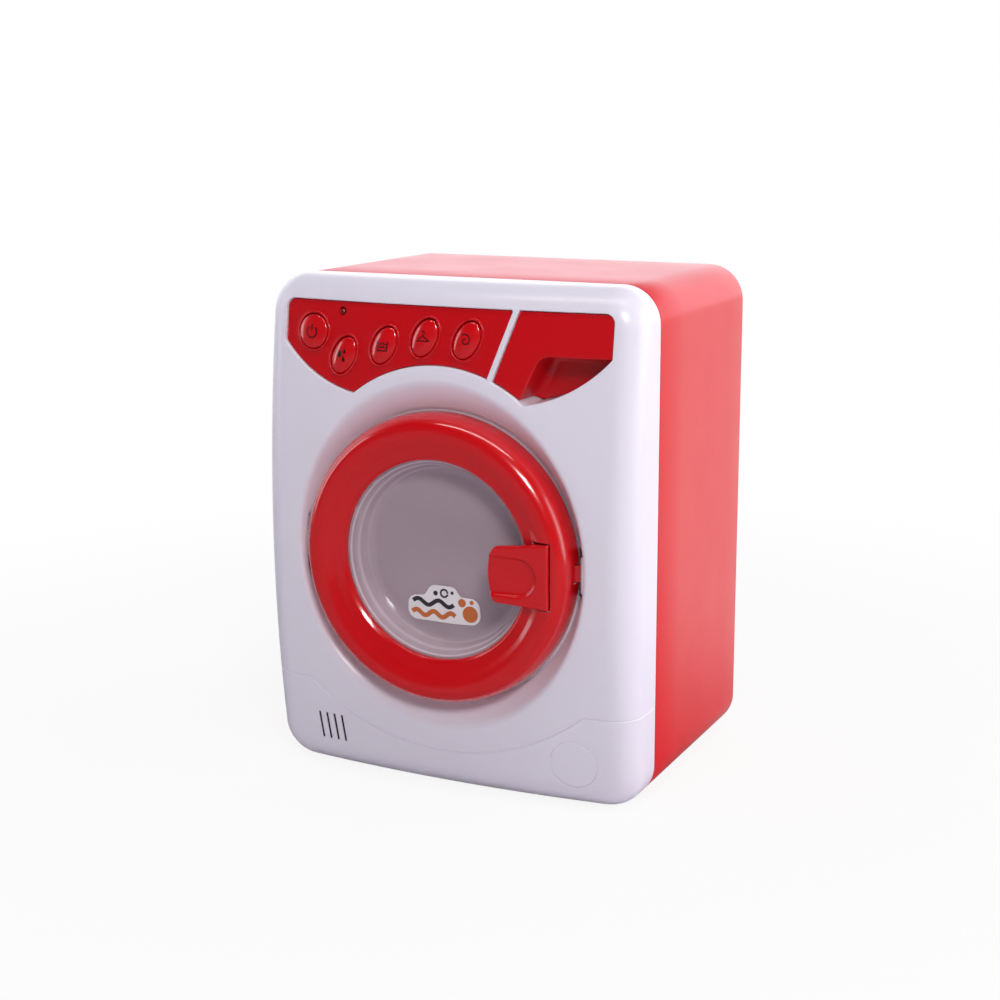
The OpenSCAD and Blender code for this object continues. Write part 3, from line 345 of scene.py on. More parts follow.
def part_inside(path, loop):
    """The stretch of an open path inside a closed outline, from edge to edge."""
    within = np.flatnonzero(inside(path, loop))
    first, last = within[0], within[-1]
    return np.vstack([crossing(path[first - 1], path[first], loop, True), path[first:last + 1],
                      crossing(path[last], path[last + 1], loop)])


def cut_outline(loop, path, keep):
    """What stays of a closed outline, round keep, when a path from edge to edge cuts it in two."""
    def at(p):
        s = np.roll(loop, -1, axis=0) - loop
        t = np.clip(np.sum((p - loop) * s, axis=1) / np.maximum(np.sum(s * s, axis=1), 1e-12), 0, 1)
        k = int(np.argmin(np.linalg.norm(loop + s * t[:, None] - p, axis=1)))
        return k + float(t[k])
    n, i, j = len(loop), at(path[0]), at(path[-1])
    for a, b, way in ((j, i, path), (i, j, path[::-1])):
        stop = math.floor(b) + (n if b < a else 0)
        rest = [loop[k % n] for k in range(math.floor(a) + 1, stop + 1)]
        made = np.vstack([way, rest])
        made = made[np.linalg.norm(made - np.roll(made, 1, axis=0), axis=1) > 0.05]
        if inside(np.array([keep], float), made)[0]:
            return ccw(made)


def evenly(path, count):
    """An open path as count evenly spaced points."""
    path = np.asarray(path, float)
    far = np.concatenate([[0], np.cumsum(np.linalg.norm(np.diff(path, axis=0), axis=1))])
    want = np.linspace(0, far[-1], count)
    return np.stack([np.interp(want, far, path[:, k]) for k in (0, 1)], 1)


def stroke(path, width):
    """Closed outline of a line drawn with a pen of this width."""
    path = np.asarray(path, float)
    way = np.gradient(path, axis=0)
    side = np.stack([-way[:, 1], way[:, 0]], 1) / np.linalg.norm(way, axis=1, keepdims=True)
    return ccw(np.vstack([path + side * width / 2, (path - side * width / 2)[::-1]]))


# Meshes

class Form:
    """Collects vertices and faces of one piece."""

    def __init__(self):
        self.points, self.faces = [], []

    def add(self, points):
        """Adds a row of vertices and gives their numbers."""
        first = len(self.points)
        self.points += [tuple(float(c) for c in p) for p in points]
        return list(range(first, len(self.points)))

    def strip(self, a, b):
        """Faces between two closed rows of vertices."""
        for i in range(len(a)):
            j = (i + 1) % len(a)
            self.faces.append((a[i], a[j], b[j], b[i]))

    def bands(self, row, loops):
        """Faces from a row of vertices on through more loops; gives the last row."""
        for loop in loops:
            ids = self.add(loop)
            self.strip(row, ids)
            row = ids
        return row

    def loft(self, loops, caps=True):
        """Faces through closed outlines in turn, with the first and last filled if caps is set."""
        rows = [self.add(loop) for loop in loops]
        for a, b in zip(rows, rows[1:]):
            self.strip(a, b)
        if caps:
            self.faces += [tuple(rows[0]), tuple(rows[-1])]
        return rows

    def fan(self, row, point):
        """Faces from a closed row of vertices to one point."""
        tip = self.add([point])[0]
        self.faces += [(row[i], row[(i + 1) % len(row)], tip) for i in range(len(row))]

    def prism(self, loop, z0, z1):
        """A prism over an outline in x and y, from height z0 to z1."""
        self.loft([np.stack([loop[:, 0], loop[:, 1], np.full(len(loop), z)], 1) for z in (z0, z1)])

    def box(self, low, high):
        """A plain box, for cutting with."""
        x, y, z = zip(low, high)
        ids = self.add([(a, b, c) for a in x for b in y for c in z])
        self.faces += [tuple(ids[k] for k in q) for q in
                       [(0, 1, 3, 2), (4, 6, 7, 5), (0, 4, 5, 1), (2, 3, 7, 6), (0, 2, 6, 4), (1, 5, 7, 3)]]

    def post(self, p, r, y0, y1, edge=0.3):
        """A round post along y with softened ends."""
        profile = [(r - edge, y0), (r - edge * 0.3, y0 + edge * 0.3), (r, y0 + edge), (r, y1 - edge),
                   (r - edge * 0.3, y1 - edge * 0.3), (r - edge, y1)]
        rows = self.loft([flat(oval(q, q, 0, 32, p), y) for q, y in profile], caps=False)
        self.fan(rows[0], (p[0], y0, p[1]))
        self.fan(rows[-1], (p[0], y1, p[1]))

    def mesh(self, name):
        made = bpy.data.meshes.new(name)
        made.from_pydata([place(p) for p in self.points], [], self.faces)
        return made


def mark_edges(work, sharp):
    """Edges look smooth where their faces meet at less than sharp degrees."""
    for edge in work.edges:
        edge.smooth = edge.is_manifold and edge.calc_face_angle(0.0) < math.radians(sharp)


def linked_object(name, data):
    made = bpy.data.objects.new(name, data)
    bpy.context.collection.objects.link(made)
    return made


def plain_mesh(piece):
    """The piece's mesh as its modifiers leave it."""
    shown = piece.evaluated_get(bpy.context.evaluated_depsgraph_get())
    return bpy.data.meshes.new_from_object(shown)


def build(name, form, finish, body, replaces=(), sharp=32.0, merge=1e-6):
    """Turns a form into a piece that rides on a body and stands for CAD nodes."""
    return finish_piece(linked_object(name, form.mesh(name)), finish, body, replaces, sharp, merge)


def finish_piece(piece, finish, body, replaces, sharp=32.0, merge=1e-6):
    """Joins doubled points, turns faces outwards and smooths all but the sharp edges."""
    work = bmesh.new()
    work.from_mesh(piece.data)
    if merge:
        bmesh.ops.remove_doubles(work, verts=work.verts, dist=merge)
    bmesh.ops.dissolve_degenerate(work, edges=work.edges, dist=1e-8)
    bmesh.ops.recalc_face_normals(work, faces=work.faces)
    for face in work.faces:
        face.smooth = True
    mark_edges(work, sharp)
    work.to_mesh(piece.data)
    work.free()
    if finish is not None:
        piece.data.materials.append(finish)
    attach(piece, body)
    if replaces:
        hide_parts(*replaces)
    return piece


def cut_away(piece, cutter_form, sharp=32.0):
    """Cuts a closed form out of a piece."""
    mesh = cutter_form.mesh("cutter")
    work = bmesh.new()
    work.from_mesh(mesh)
    bmesh.ops.recalc_face_normals(work, faces=work.faces)
    work.to_mesh(mesh)
    work.free()
    cutter = linked_object("cutter", mesh)
    cut = piece.modifiers.new("cut", "BOOLEAN")
    cut.operation, cut.solver, cut.object = "DIFFERENCE", "EXACT", cutter
    result, old = plain_mesh(piece), piece.data
    piece.modifiers.clear()
    piece.data, result.name = result, old.name
    bpy.data.meshes.remove(old)
    bpy.data.objects.remove(cutter)
    bpy.data.meshes.remove(mesh)
    work = bmesh.new()
    work.from_mesh(piece.data)
    mark_edges(work, sharp)
    work.to_mesh(piece.data)
    work.free()


# Node trees

def new_tree(name, sizes):
    """Geometry node tree that takes start points, the named sizes and a material."""
    tree = bpy.data.node_groups.new(name, "GeometryNodeTree")
    face = tree.interface
    face.new_socket("Geometry", in_out="OUTPUT", socket_type="NodeSocketGeometry")
    for size, kind in {"Geometry": "Geometry", **sizes, "Material": "Material"}.items():
        face.new_socket(size, in_out="INPUT", socket_type="NodeSocket" + kind)
    return tree, node(tree, "NodeGroupInput").outputs


def end_tree(tree, given, geometry):
    """Ends a tree: real meshes in place of instances, in the given material."""
    real = node(tree, "GeometryNodeRealizeInstances", {"Geometry": geometry})
    cover = node(tree, "GeometryNodeSetMaterial", {"Geometry": real, "Material": given["Material"]})
    node(tree, "NodeGroupOutput", {0: cover})
    return tree


def turned_tree():
    """A row of points (radius, depth) turned in even steps about an axis along y."""
    tree, given = new_tree("turned_section", {"Steps": "Int", "Axis Height": "Float"})
    row = given["Geometry"]
    count = node(tree, "GeometryNodeAttributeDomainSize", {"Geometry": row}).outputs["Point Count"]
    columns = node(tree, "ShaderNodeMath", {0: given["Steps"], 1: 1}, operation="ADD")
    grid = node(tree, "GeometryNodeMeshGrid", {"Vertices X": columns, "Vertices Y": count})
    # each column of the grid is the row again: which column a point is in, and which of the row it is
    index = node(tree, "GeometryNodeInputIndex")
    middle = node(tree, "ShaderNodeMath", {0: index, 1: 0.5}, operation="ADD")
    share = node(tree, "ShaderNodeMath", {0: middle, 1: count}, operation="DIVIDE")
    column = node(tree, "ShaderNodeMath", {0: share}, operation="FLOOR")
    passed = node(tree, "ShaderNodeMath", {0: column, 1: count}, operation="MULTIPLY")
    at = node(tree, "ShaderNodeMath", {0: index, 1: passed}, operation="SUBTRACT")
    spot = node(tree, "GeometryNodeInputPosition")
    taken = node(tree, "GeometryNodeSampleIndex", {"Geometry": row, "Value": spot, "Index": at},
                 data_type="FLOAT_VECTOR")
    parts = node(tree, "ShaderNodeSeparateXYZ", {0: taken}).outputs
    part = node(tree, "ShaderNodeMath", {0: column, 1: given["Steps"]}, operation="DIVIDE")
    angle = node(tree, "ShaderNodeMath", {0: part, 1: 2 * math.pi}, operation="MULTIPLY")
    cosine = node(tree, "ShaderNodeMath", {0: angle}, operation="COSINE")
    sine = node(tree, "ShaderNodeMath", {0: angle}, operation="SINE")
    x = node(tree, "ShaderNodeMath", {0: parts["X"], 1: cosine}, operation="MULTIPLY")
    rise = node(tree, "ShaderNodeMath", {0: parts["X"], 1: sine}, operation="MULTIPLY")
    z = node(tree, "ShaderNodeMath", {0: rise, 1: given["Axis Height"]}, operation="ADD")
    moved_to = node(tree, "ShaderNodeCombineXYZ", {"X": x, "Y": parts["Y"], "Z": z})
    shaped = node(tree, "GeometryNodeSetPosition", {"Geometry": grid, "Position": moved_to})
    closed = node(tree, "GeometryNodeMergeByDistance", {"Geometry": shaped}, Distance=2e-6)
    return end_tree(tree, given, closed)


def on_points(tree, given, shape):
    """The shape on each start point, turned by Turn and about y by Turn Each for each further point."""
    index = node(tree, "GeometryNodeInputIndex")
    more = node(tree, "ShaderNodeMath", {0: index, 1: given["Turn Each"]}, operation="MULTIPLY")
    about_y = node(tree, "ShaderNodeCombineXYZ", {"Y": more})
    turn = node(tree, "ShaderNodeVectorMath", {0: given["Turn"], 1: about_y}, operation="ADD")
    rotation = node(tree, "FunctionNodeEulerToRotation", {0: turn})
    return node(tree, "GeometryNodeInstanceOnPoints", {
        "Points": given["Geometry"], "Instance": shape, "Rotation": rotation})


def coil(tree, turns, start, end, long, wire, steps=20, sides=8):
    """Round wire wound along z."""
    path = node(tree, "GeometryNodeCurveSpiral", {
        "Rotations": turns, "Start Radius": start, "End Radius": end, "Height": long}, Resolution=steps)
    section = node(tree, "GeometryNodeCurvePrimitiveCircle", {"Radius": wire}, Resolution=sides)
    return node(tree, "GeometryNodeCurveToMesh", {"Curve": path, "Profile Curve": section}, Fill_Caps=True)


def spring_tree():
    """Coil springs, one on each start point."""
    tree, given = new_tree("coil_springs", {
        "Turns": "Float", "Start Radius": "Float", "End Radius": "Float", "Length": "Float",
        "Wire Radius": "Float", "Turn": "Vector", "Turn Each": "Float"})
    wound = coil(tree, given["Turns"], given["Start Radius"], given["End Radius"], given["Length"],
                 given["Wire Radius"])
    return end_tree(tree, given, on_points(tree, given, wound))


def screw_tree():
    """Pan-head screws with a cross recess and a thread, one on each start point, heads towards +z."""
    tree, given = new_tree("pan_head_screws", {
        "Head Radius": "Float", "Head Height": "Float", "Shank Radius": "Float", "Length": "Float",
        "Pitch": "Float", "Recess Width": "Float", "Turn": "Vector", "Turn Each": "Float"})
    high, wide, thick = given["Head Height"], given["Head Radius"], given["Shank Radius"]
    # head: its side draws in towards its top
    head = node(tree, "GeometryNodeMeshCylinder", {"Radius": wide, "Depth": high},
                Vertices=32, Side_Segments=8, fill_type="NGON")
    spot = node(tree, "GeometryNodeInputPosition")
    level = node(tree, "ShaderNodeSeparateXYZ", {0: spot}).outputs["Z"]
    part = node(tree, "ShaderNodeMath", {0: level, 1: high}, operation="DIVIDE")
    share = node(tree, "ShaderNodeMath", {0: part, 1: 0.5}, operation="ADD")
    steep = node(tree, "ShaderNodeMath", {0: share, 1: 4.0}, operation="POWER")
    less = node(tree, "ShaderNodeMath", {0: steep, 1: 0.32}, operation="MULTIPLY")
    draw_in = node(tree, "ShaderNodeMath", {0: 1.0, 1: less}, operation="SUBTRACT")
    scale = node(tree, "ShaderNodeCombineXYZ", {"X": draw_in, "Y": draw_in, "Z": 1.0})
    pan = node(tree, "ShaderNodeVectorMath", {0: spot, 1: scale}, operation="MULTIPLY")
    head = node(tree, "GeometryNodeSetPosition", {"Geometry": head, "Position": pan})
    # cross recess, cut by two bars
    cut = node(tree, "GeometryNodeMeshBoolean", {0: head}, operation="DIFFERENCE")
    deep = node(tree, "ShaderNodeMath", {0: high, 1: 0.9}, operation="MULTIPLY")
    across = node(tree, "ShaderNodeMath", {0: wide, 1: 1.15}, operation="MULTIPLY")
    half = node(tree, "ShaderNodeVectorMath", {0: (0, 0, 0.5), "Scale": high}, operation="SCALE")
    for x, y in ((across, given["Recess Width"]), (given["Recess Width"], across)):
        edge = node(tree, "ShaderNodeCombineXYZ", {"X": x, "Y": y, "Z": deep})
        bar = node(tree, "GeometryNodeMeshCube", {"Size": edge})
        raised = node(tree, "GeometryNodeTransform", {"Geometry": bar, "Translation": half})
        tree.links.new(raised.outputs[0], cut.inputs["Mesh 2"])
    head = node(tree, "GeometryNodeTransform", {"Geometry": cut, "Translation": half})
    # shank below the head
    low = node(tree, "ShaderNodeMath", {0: thick, 1: 0.62}, operation="MULTIPLY")
    top = node(tree, "ShaderNodeMath", {0: thick, 1: 0.74}, operation="MULTIPLY")
    core = node(tree, "GeometryNodeMeshCone", {
        "Radius Bottom": low, "Radius Top": top, "Depth": given["Length"]}, Vertices=24)
    down = node(tree, "ShaderNodeVectorMath", {0: (0, 0, -1), "Scale": given["Length"]}, operation="SCALE")
    shank = node(tree, "GeometryNodeTransform", {"Geometry": core, "Translation": down})
    # thread wound round it, from just above the tip
    wire = node(tree, "ShaderNodeMath", {0: thick, 1: 0.18}, operation="MULTIPLY")
    reach = node(tree, "ShaderNodeMath", {0: thick, 1: 0.82}, operation="MULTIPLY")
    tip = node(tree, "ShaderNodeMath", {0: thick, 1: 0.72}, operation="MULTIPLY")
    ends = node(tree, "ShaderNodeMath", {0: wire, 1: 4.0}, operation="MULTIPLY")
    run = node(tree, "ShaderNodeMath", {0: given["Length"], 1: ends}, operation="SUBTRACT")
    turns = node(tree, "ShaderNodeMath", {0: run, 1: given["Pitch"]}, operation="DIVIDE")
    thread = coil(tree, turns, tip, reach, run, wire, steps=18, sides=4)
    lift = node(tree, "ShaderNodeMath", {0: wire, 1: 1.5}, operation="MULTIPLY")
    start = node(tree, "ShaderNodeMath", {0: lift, 1: given["Length"]}, operation="SUBTRACT")
    start = node(tree, "ShaderNodeCombineXYZ", {"Z": start})
    thread = node(tree, "GeometryNodeTransform", {"Geometry": thread, "Translation": start})
    whole = node(tree, "GeometryNodeJoinGeometry")
    for part in (head, shank, thread):
        tree.links.new(part.outputs[0], whole.inputs[0])
    return end_tree(tree, given, on_points(tree, given, whole))


def grown(name, tree, start, sizes, finish, body, replaces):
    """Runs a node tree on its start points and keeps the result as a plain mesh."""
    mesh = bpy.data.meshes.new(name)
    mesh.from_pydata([place(p) for p in start], [], [])
    piece = linked_object(name, mesh)
    step = piece.modifiers.new("shape", "NODES")
    step.node_group = tree
    for item in tree.interface.items_tree:
        if item.in_out == "INPUT" and item.name != "Geometry":
            step[item.identifier] = finish if item.name == "Material" else sizes[item.name]
    made = plain_mesh(piece)
    piece.modifiers.remove(step)
    piece.data = made
    return finish_piece(piece, None, body, replaces)


def turned_piece(name, profile, count, finish, replaces):
    """A closed profile turned about the door's axis."""
    row = [(r, y, 0) for r, y in profile]
    return grown(name, turned_tree(), row + row[:1], {"Steps": count, "Axis Height": DOOR_Z / 1000},
                 finish, "door", replaces)


# Sheets

class Sheet:
    """A curved plate drawn in x and z: an outer edge, holes, and extra lines, with a front and a back."""

    def __init__(self, outer, spacing=2.0):
        self.spacing, self.outer = spacing, outer
        self.holes, self.points, self.drop, self.edges = [], [], [], []
        self.outer_ids = self.line(outer)

    def line(self, pts, drop=0.0, closed=True):
        """Points that the mesh keeps, with how far each drops below the surface."""
        first = len(self.points)
        self.points += [tuple(p) for p in pts]
        self.drop += list(np.broadcast_to(drop, len(pts)))
        ids = list(range(first, len(self.points)))
        last = len(ids) if closed else len(ids) - 1
        self.edges += [(ids[i], ids[(i + 1) % len(ids)]) for i in range(last)]
        return ids

    def soften(self, loop, radius, outwards, steps):
        """Lines beside an edge, with the drop that gives it a round of this radius."""
        for k in range(1, steps + 1):
            d = radius * k / steps
            drop = radius - math.sqrt(max(0.0, radius ** 2 - (radius - d) ** 2))
            self.line(grow(loop, d if outwards else -d), drop)

    def edge(self, radius, steps):
        """Rounds the outer edge."""
        self.soften(ccw(self.outer), radius, False, steps)
        for i in self.outer_ids:
            self.drop[i] = radius

    def hole(self, loop, radius, steps=4):
        """An opening with a rounded edge."""
        loop = ccw(loop)
        ids = self.line(loop, radius)
        self.holes.append((loop, ids))
        if radius > 0:
            self.soften(loop, radius, True, steps)
        return ids

    def make(self, form, front, back, wall=True):
        """Adds front and back faces and the edge walls to a form."""
        given = np.array(self.points)
        lo, hi = given.min(0), given.max(0)
        # staggered grid of points, inside the outline and clear of the holes and the given points
        s = self.spacing
        row_apart, clear = 0.87 * s, 0.62 * s
        rows = np.arange(lo[1], hi[1] + s, row_apart)
        grid = np.array([(x + (s / 2 if i % 2 else 0), z) for i, z in enumerate(rows)
                         for x in np.arange(lo[0], hi[0] + s, s)])
        grid = grid[inside(grid, self.outer)]
        for loop, _ in self.holes:
            grid = grid[~inside(grid, loop)]
        grid = grid[~near(grid, given, clear)]
        all_points = np.concatenate([given, grid])
        drop = np.concatenate([np.array(self.drop, float), np.zeros(len(grid))])
        found = delaunay_2d_cdt([Vector(p) for p in all_points], self.edges, [], 0, 1e-7)
        at = np.array([tuple(p) for p in found[0]])
        source = [o[0] if o else -1 for o in found[3]]
        index = {o: i for i, many in enumerate(found[3]) for o in many}
        # a point that the mesh adds takes the drop of the nearest given one
        close = lambda p: int(np.argmin(np.sum(np.square(given - p), axis=1)))
        dropped = np.array([drop[o] if o >= 0 else drop[close(p)] for o, p in zip(source, at)])
        tris = np.array(found[2])
        middle = at[tris].mean(axis=1)
        keep = inside(middle, self.outer)
        for loop, _ in self.holes:
            keep &= ~inside(middle, loop)
        tris = tris[keep]
        front_ids = form.add(front(at[:, 0], at[:, 1], dropped))
        back_ids = form.add(back(at[:, 0], at[:, 1], dropped))
        for a, b, c in tris:
            form.faces.append((front_ids[a], front_ids[b], front_ids[c]))
            form.faces.append((back_ids[c], back_ids[b], back_ids[a]))
        loops = [[index[i] for i in self.outer_ids]] + [[index[i] for i in ids] for _, ids in self.holes]
        if wall:
            for loop in loops:
                form.strip([front_ids[i] for i in loop], [back_ids[i] for i in loop])
        return [([front_ids[i] for i in loop], [back_ids[i] for i in loop]) for loop in loops]


# Case outline

def outline_samples():
    """Places along the case outline: side name or corner number with its position."""
    flat_x = CASE_W / 2 - CORNER_R
    flat_z = (CORNER_R, CASE_H - CORNER_R)
    zs = sorted(set(list(np.linspace(flat_z[0], flat_z[1], 48)[1:-1]) +
                    [SKIRT_SIDE_Z - 0.35, SKIRT_SIDE_Z, SKIRT_SIDE_Z + 0.35]))
    xs = list(np.linspace(-flat_x, flat_x, 44)[1:-1])
    out = []
    out += [("right", z) for z in zs]
    out += [(0, a) for a in np.linspace(0, 90, 16)]
    out += [("top", x) for x in xs[::-1]]
    out += [(1, a) for a in np.linspace(90, 180, 16)]
    out += [("left", z) for z in zs[::-1]]
    out += [(2, a) for a in np.linspace(180, 270, 16)]
    out += [("bottom", x) for x in xs]
    out += [(3, a) for a in np.linspace(270, 360, 16)]
    return out


SAMPLES = outline_samples()


def outline(t):
    """Case outline drawn in by t, one point for each sample."""
    hw, out = CASE_W / 2, []
    for key, v in SAMPLES:
        if key == "right":
            out.append((hw - t, v))
        elif key == "left":
            out.append((-hw + t, v))
        elif key == "top":
            out.append((v, CASE_H - t))
        elif key == "bottom":
            out.append((v, t))
        else:
            cx = (hw - CORNER_R) * (1 if key in (0, 3) else -1)
            cz = CASE_H - CORNER_R if key in (0, 1) else CORNER_R
            r = CORNER_R - t
            a = math.radians(v)
            out.append((cx + r * math.cos(a), cz + r * math.sin(a)))
    return np.array(out)


def from_edge(x, z):
    """Distance in from the case outline, and the direction inwards."""
    hx, hz = CASE_W / 2 - CORNER_R, CASE_H / 2 - CORNER_R
    dx, dz = np.abs(x) - hx, np.abs(z - CASE_H / 2) - hz
    qx, qz = np.maximum(dx, 0), np.maximum(dz, 0)
    far = np.hypot(qx, qz)
    distance = CORNER_R - (far + np.minimum(np.maximum(dx, dz), 0))
    both = (dx > 0) & (dz > 0)
    ux = np.where(both, qx / np.maximum(far, 1e-9), np.where(dx > dz, 1.0, 0.0)) * np.sign(x)
    uz = np.where(both, qz / np.maximum(far, 1e-9), np.where(dx > dz, 0.0, 1.0)) * np.sign(z - CASE_H / 2)
    return distance, -ux, -uz


def face_point(x, z, w=0.0, drop=0.0):
    """Point on the rounded white face, or w inside it."""
    o, ux, uz = from_edge(x, z)
    share = np.clip(o / EDGE_R, 0, 1)
    move = np.where(o < EDGE_R, w * (1 - share), 0.0)
    px, pz = x + ux * move, z + uz * move
    rise = np.sqrt(np.maximum(0, 1 - np.square(1 - share)))
    y = crown(px, pz) + w + (EDGE_R - w) * (1 - rise) + drop
    return np.stack([px, y, pz], 1)



# Visor-shaped opening

def meet(c1, r1, c2, r2, side):
    """Where two circles meet; side picks the one of the two points."""
    c1, c2 = np.array(c1), np.array(c2)
    d = np.linalg.norm(c2 - c1)
    a = (r1 ** 2 - r2 ** 2 + d ** 2) / (2 * d)
    h = math.sqrt(r1 ** 2 - a ** 2)
    u = (c2 - c1) / d
    return c1 + u * a + side * h * np.array([-u[1], u[0]])


def arc(centre, r, start, end, spacing=1.2, trim=1.0):
    """Points on an arc between two points on it, leaving room at both ends for a rounded corner."""
    a0 = math.atan2(start[1] - centre[1], start[0] - centre[0])
    a1 = math.atan2(end[1] - centre[1], end[0] - centre[0])
    if a1 - a0 > math.pi:
        a1 -= 2 * math.pi
    if a0 - a1 > math.pi:
        a1 += 2 * math.pi
    cut = math.copysign(trim / r, a1 - a0)
    a0, a1 = a0 + cut, a1 - cut
    count = max(2, int(abs(a1 - a0) * r / spacing))
    return [(centre[0] + r * math.cos(a), centre[1] + r * math.sin(a), 0) for a in np.linspace(a0, a1, count)]


def bar_x(z, side, d=0.0):
    """Edge of the bar at height z; side -1 for its left edge."""
    lean = (BAR_TOP[0] - BAR_LOW[0]) / (BAR_TOP[1] - BAR_LOW[1])
    return BAR_LOW[0] + lean * (z - BAR_LOW[1]) + side * (BAR_W / 2 - d)


def on_bar(centre, r, side, d):
    """Point where a circle meets the bar's edge, searched between two heights."""
    lo, hi = 165.0, 200.0
    f = lambda z: math.hypot(bar_x(z, side, d) - centre[0], z - centre[1]) - r
    for _ in range(60):
        mid = (lo + hi) / 2
        if (f(lo) < 0) == (f(mid) < 0):
            lo = mid
        else:
            hi = mid
    return np.array([bar_x(lo, side, d), lo])


def visor(side, d, corner=0.7):
    """Outline of the panel's opening (side -1) or the drawer's (side 1), grown by d."""
    big, over = (side * ARC_X, ARC_Z), (0.0, OVER_Z)
    r_big, r_over = ARC_R + d, OVER_R - d
    top, edge = VISOR_TOP + d, side * (VISOR_HW + d)
    low = (edge, ARC_Z - math.sqrt(r_big ** 2 - (edge - side * ARC_X) ** 2))
    tip = max((meet(big, r_big, over, r_over, s) for s in (-1, 1)), key=lambda p: side * p[0])
    bar_end = on_bar(over, r_over, side, d)
    way = [(edge, top, VISOR_CORNER + d), (*low, 1.5), *arc(big, r_big, low, tip, trim=1.8),
           (*tip, corner), *arc(over, r_over, tip, bar_end, trim=1.2), (*bar_end, corner)]
    corners = [(bar_x(top, side, d), top, corner)] + way[::-side]
    return ccw(resample(rounded(corners), 1.4))


def oval(a, b, lean, count=96, at=(0.0, 0.0)):
    """Closed outline of an oval, a high and b wide before it leans."""
    t = np.arange(count) * 2 * math.pi / count
    u, v = b * np.cos(t), a * np.sin(t)
    c, s = math.cos(math.radians(-lean)), math.sin(math.radians(-lean))
    return np.stack([at[0] + c * u - s * v, at[1] + s * u + c * v], 1)


def cap(key):
    """A button's cap: half width, half height, lean in degrees, and the radius of its dome."""
    return (POWER_R, POWER_R, 0.0, 24.0) if key == "power" else (OVAL_B, OVAL_A, OVAL_LEAN, 21.0)


def button_outline(key, d):
    wide, tall, lean, _ = cap(key)
    return oval(tall + d, wide + d, lean)


def face_frame(p, depth):
    """Turns local x, y, z into places on the face: local -y points straight out of it."""
    up = -math.asin((p[1] - CROWN_Z) / FACE_R)
    turn = math.asin(p[0] / (FACE_R * math.cos(up)))
    whole = (Matrix.Translation((0, FACE_R, CROWN_Z)) @ Matrix.Rotation(turn, 4, "Z") @
             Matrix.Rotation(up, 4, "X") @ Matrix.Translation((0, depth - FACE_R, 0)))
    return np.array(whole)


def moved(points, whole):
    """Local points where face_frame() puts them."""
    points = np.asarray(points, float)
    return points @ whole[:3, :3].T + whole[:3, 3]


def flat(loop, y):
    """A closed outline at depth y."""
    return np.stack([loop[:, 0], np.full(len(loop), float(y)), loop[:, 1]], 1)


def plane(y, dropped=0.0):
    """Level side of a sheet at depth y; dropped says which way its softened edges go."""
    return lambda x, z, d: np.stack([x, y + dropped * d, z], 1)


def layer_y(x, z, depth):
    """Depth of a surface that follows the bulged face, this far below it."""
    r = FACE_R - depth
    return FACE_R - np.sqrt(r ** 2 - np.square(x) - np.square(z - CROWN_Z))


def layer(depth, dropped=1.0):
    """Side of a sheet that follows the face, this deep below it."""
    return lambda x, z, d: np.stack([x, layer_y(x, z, depth) + dropped * d, z], 1)


# Front shell

def dish_point(theta, y):
    """Point on the wall of the recess at a depth."""
    share = (DISH_Y - y) / (DISH_Y - 3.5)
    a = DISH_BASE + (DISH_A - DISH_BASE) * share
    b = DISH_BASE + (DISH_B - DISH_BASE) * share
    return np.stack([a * np.cos(theta), DOOR_Z + b * np.sin(theta)], 1)


def dish_loops(count=288):
    """Front and back rings of the recess, from the face inwards to the end of the neck."""
    theta = np.arange(count) * 2 * math.pi / count
    y0 = np.full(count, 4.0)
    for _ in range(8):      # the recess's wall meets the bulged face: eight steps settle the depth
        p = dish_point(theta, y0)
        y0 = crown(p[:, 0], p[:, 1])
    edge = dish_point(theta, y0)
    out = edge - [0.0, DOOR_Z]
    out /= np.linalg.norm(out, axis=1, keepdims=True)
    lift = lambda p, y: np.stack([p[:, 0], y, p[:, 1]], 1)
    # round of the edge, from lip outside it to inward behind it
    lip, inward, steps = 1.6, 1.5, 6
    start, corner = edge + out * lip, edge + out * 2.5
    start3 = lift(start, crown(start[:, 0], start[:, 1]))
    edge3, inner3 = lift(edge, y0), lift(dish_point(theta, y0 + inward), y0 + inward)
    corner3 = lift(corner, crown(corner[:, 0], corner[:, 1]) + WALL)
    fronts, backs = [], []
    for k in range(steps + 1):
        t = k / steps
        fronts.append((1 - t) ** 2 * start3 + 2 * t * (1 - t) * edge3 + t ** 2 * inner3)
        backs.append(corner3 + lift(out * (0.3 - 0.1 * k), np.full(count, 0.1 * k)))
    # leaning wall
    last = y0 + inward
    for k in range(1, 8):
        y = last + (DISH_Y - 1.2 - last) * k / 7
        p = dish_point(theta, y)
        fronts.append(lift(p, y))
        backs.append(lift(p + out * 2.0, np.maximum(y + 0.7, backs[-1][:, 1] + 0.05)))
    # floor, and the neck round the mouth: radius and depth in front, then behind
    for r, y, back_r, back_y in [
            (DISH_BASE + 0.15, DISH_Y - 0.5, DISH_BASE + 2.0, 12.9),
            (DISH_BASE - 0.2, DISH_Y - 0.12, DISH_BASE + 1.7, 13.6),
            (DISH_BASE - 1.0, DISH_Y, DISH_BASE + 1.0, 14.0), (56.0, DISH_Y, 56.0, 14.0),
            (MOUTH_R + 0.7, DISH_Y, MOUTH_R + 2.6, 14.0), (MOUTH_R + 0.2, DISH_Y + 0.2, MOUTH_R + 2.1, 14.3),
            (MOUTH_R, DISH_Y + 0.7, MOUTH_R + 2.0, 15.0), (MOUTH_R, 24.1, MOUTH_R + 2.0, 24.1),
            (MOUTH_R + 0.2, 24.5, MOUTH_R + 1.8, 24.5)]:
        fronts.append(flat(oval(r, r, 0, count, (0, DOOR_Z)), y))
        backs.append(flat(oval(back_r, back_r, 0, count, (0, DOOR_Z)), back_y))
    return start, fronts, backs


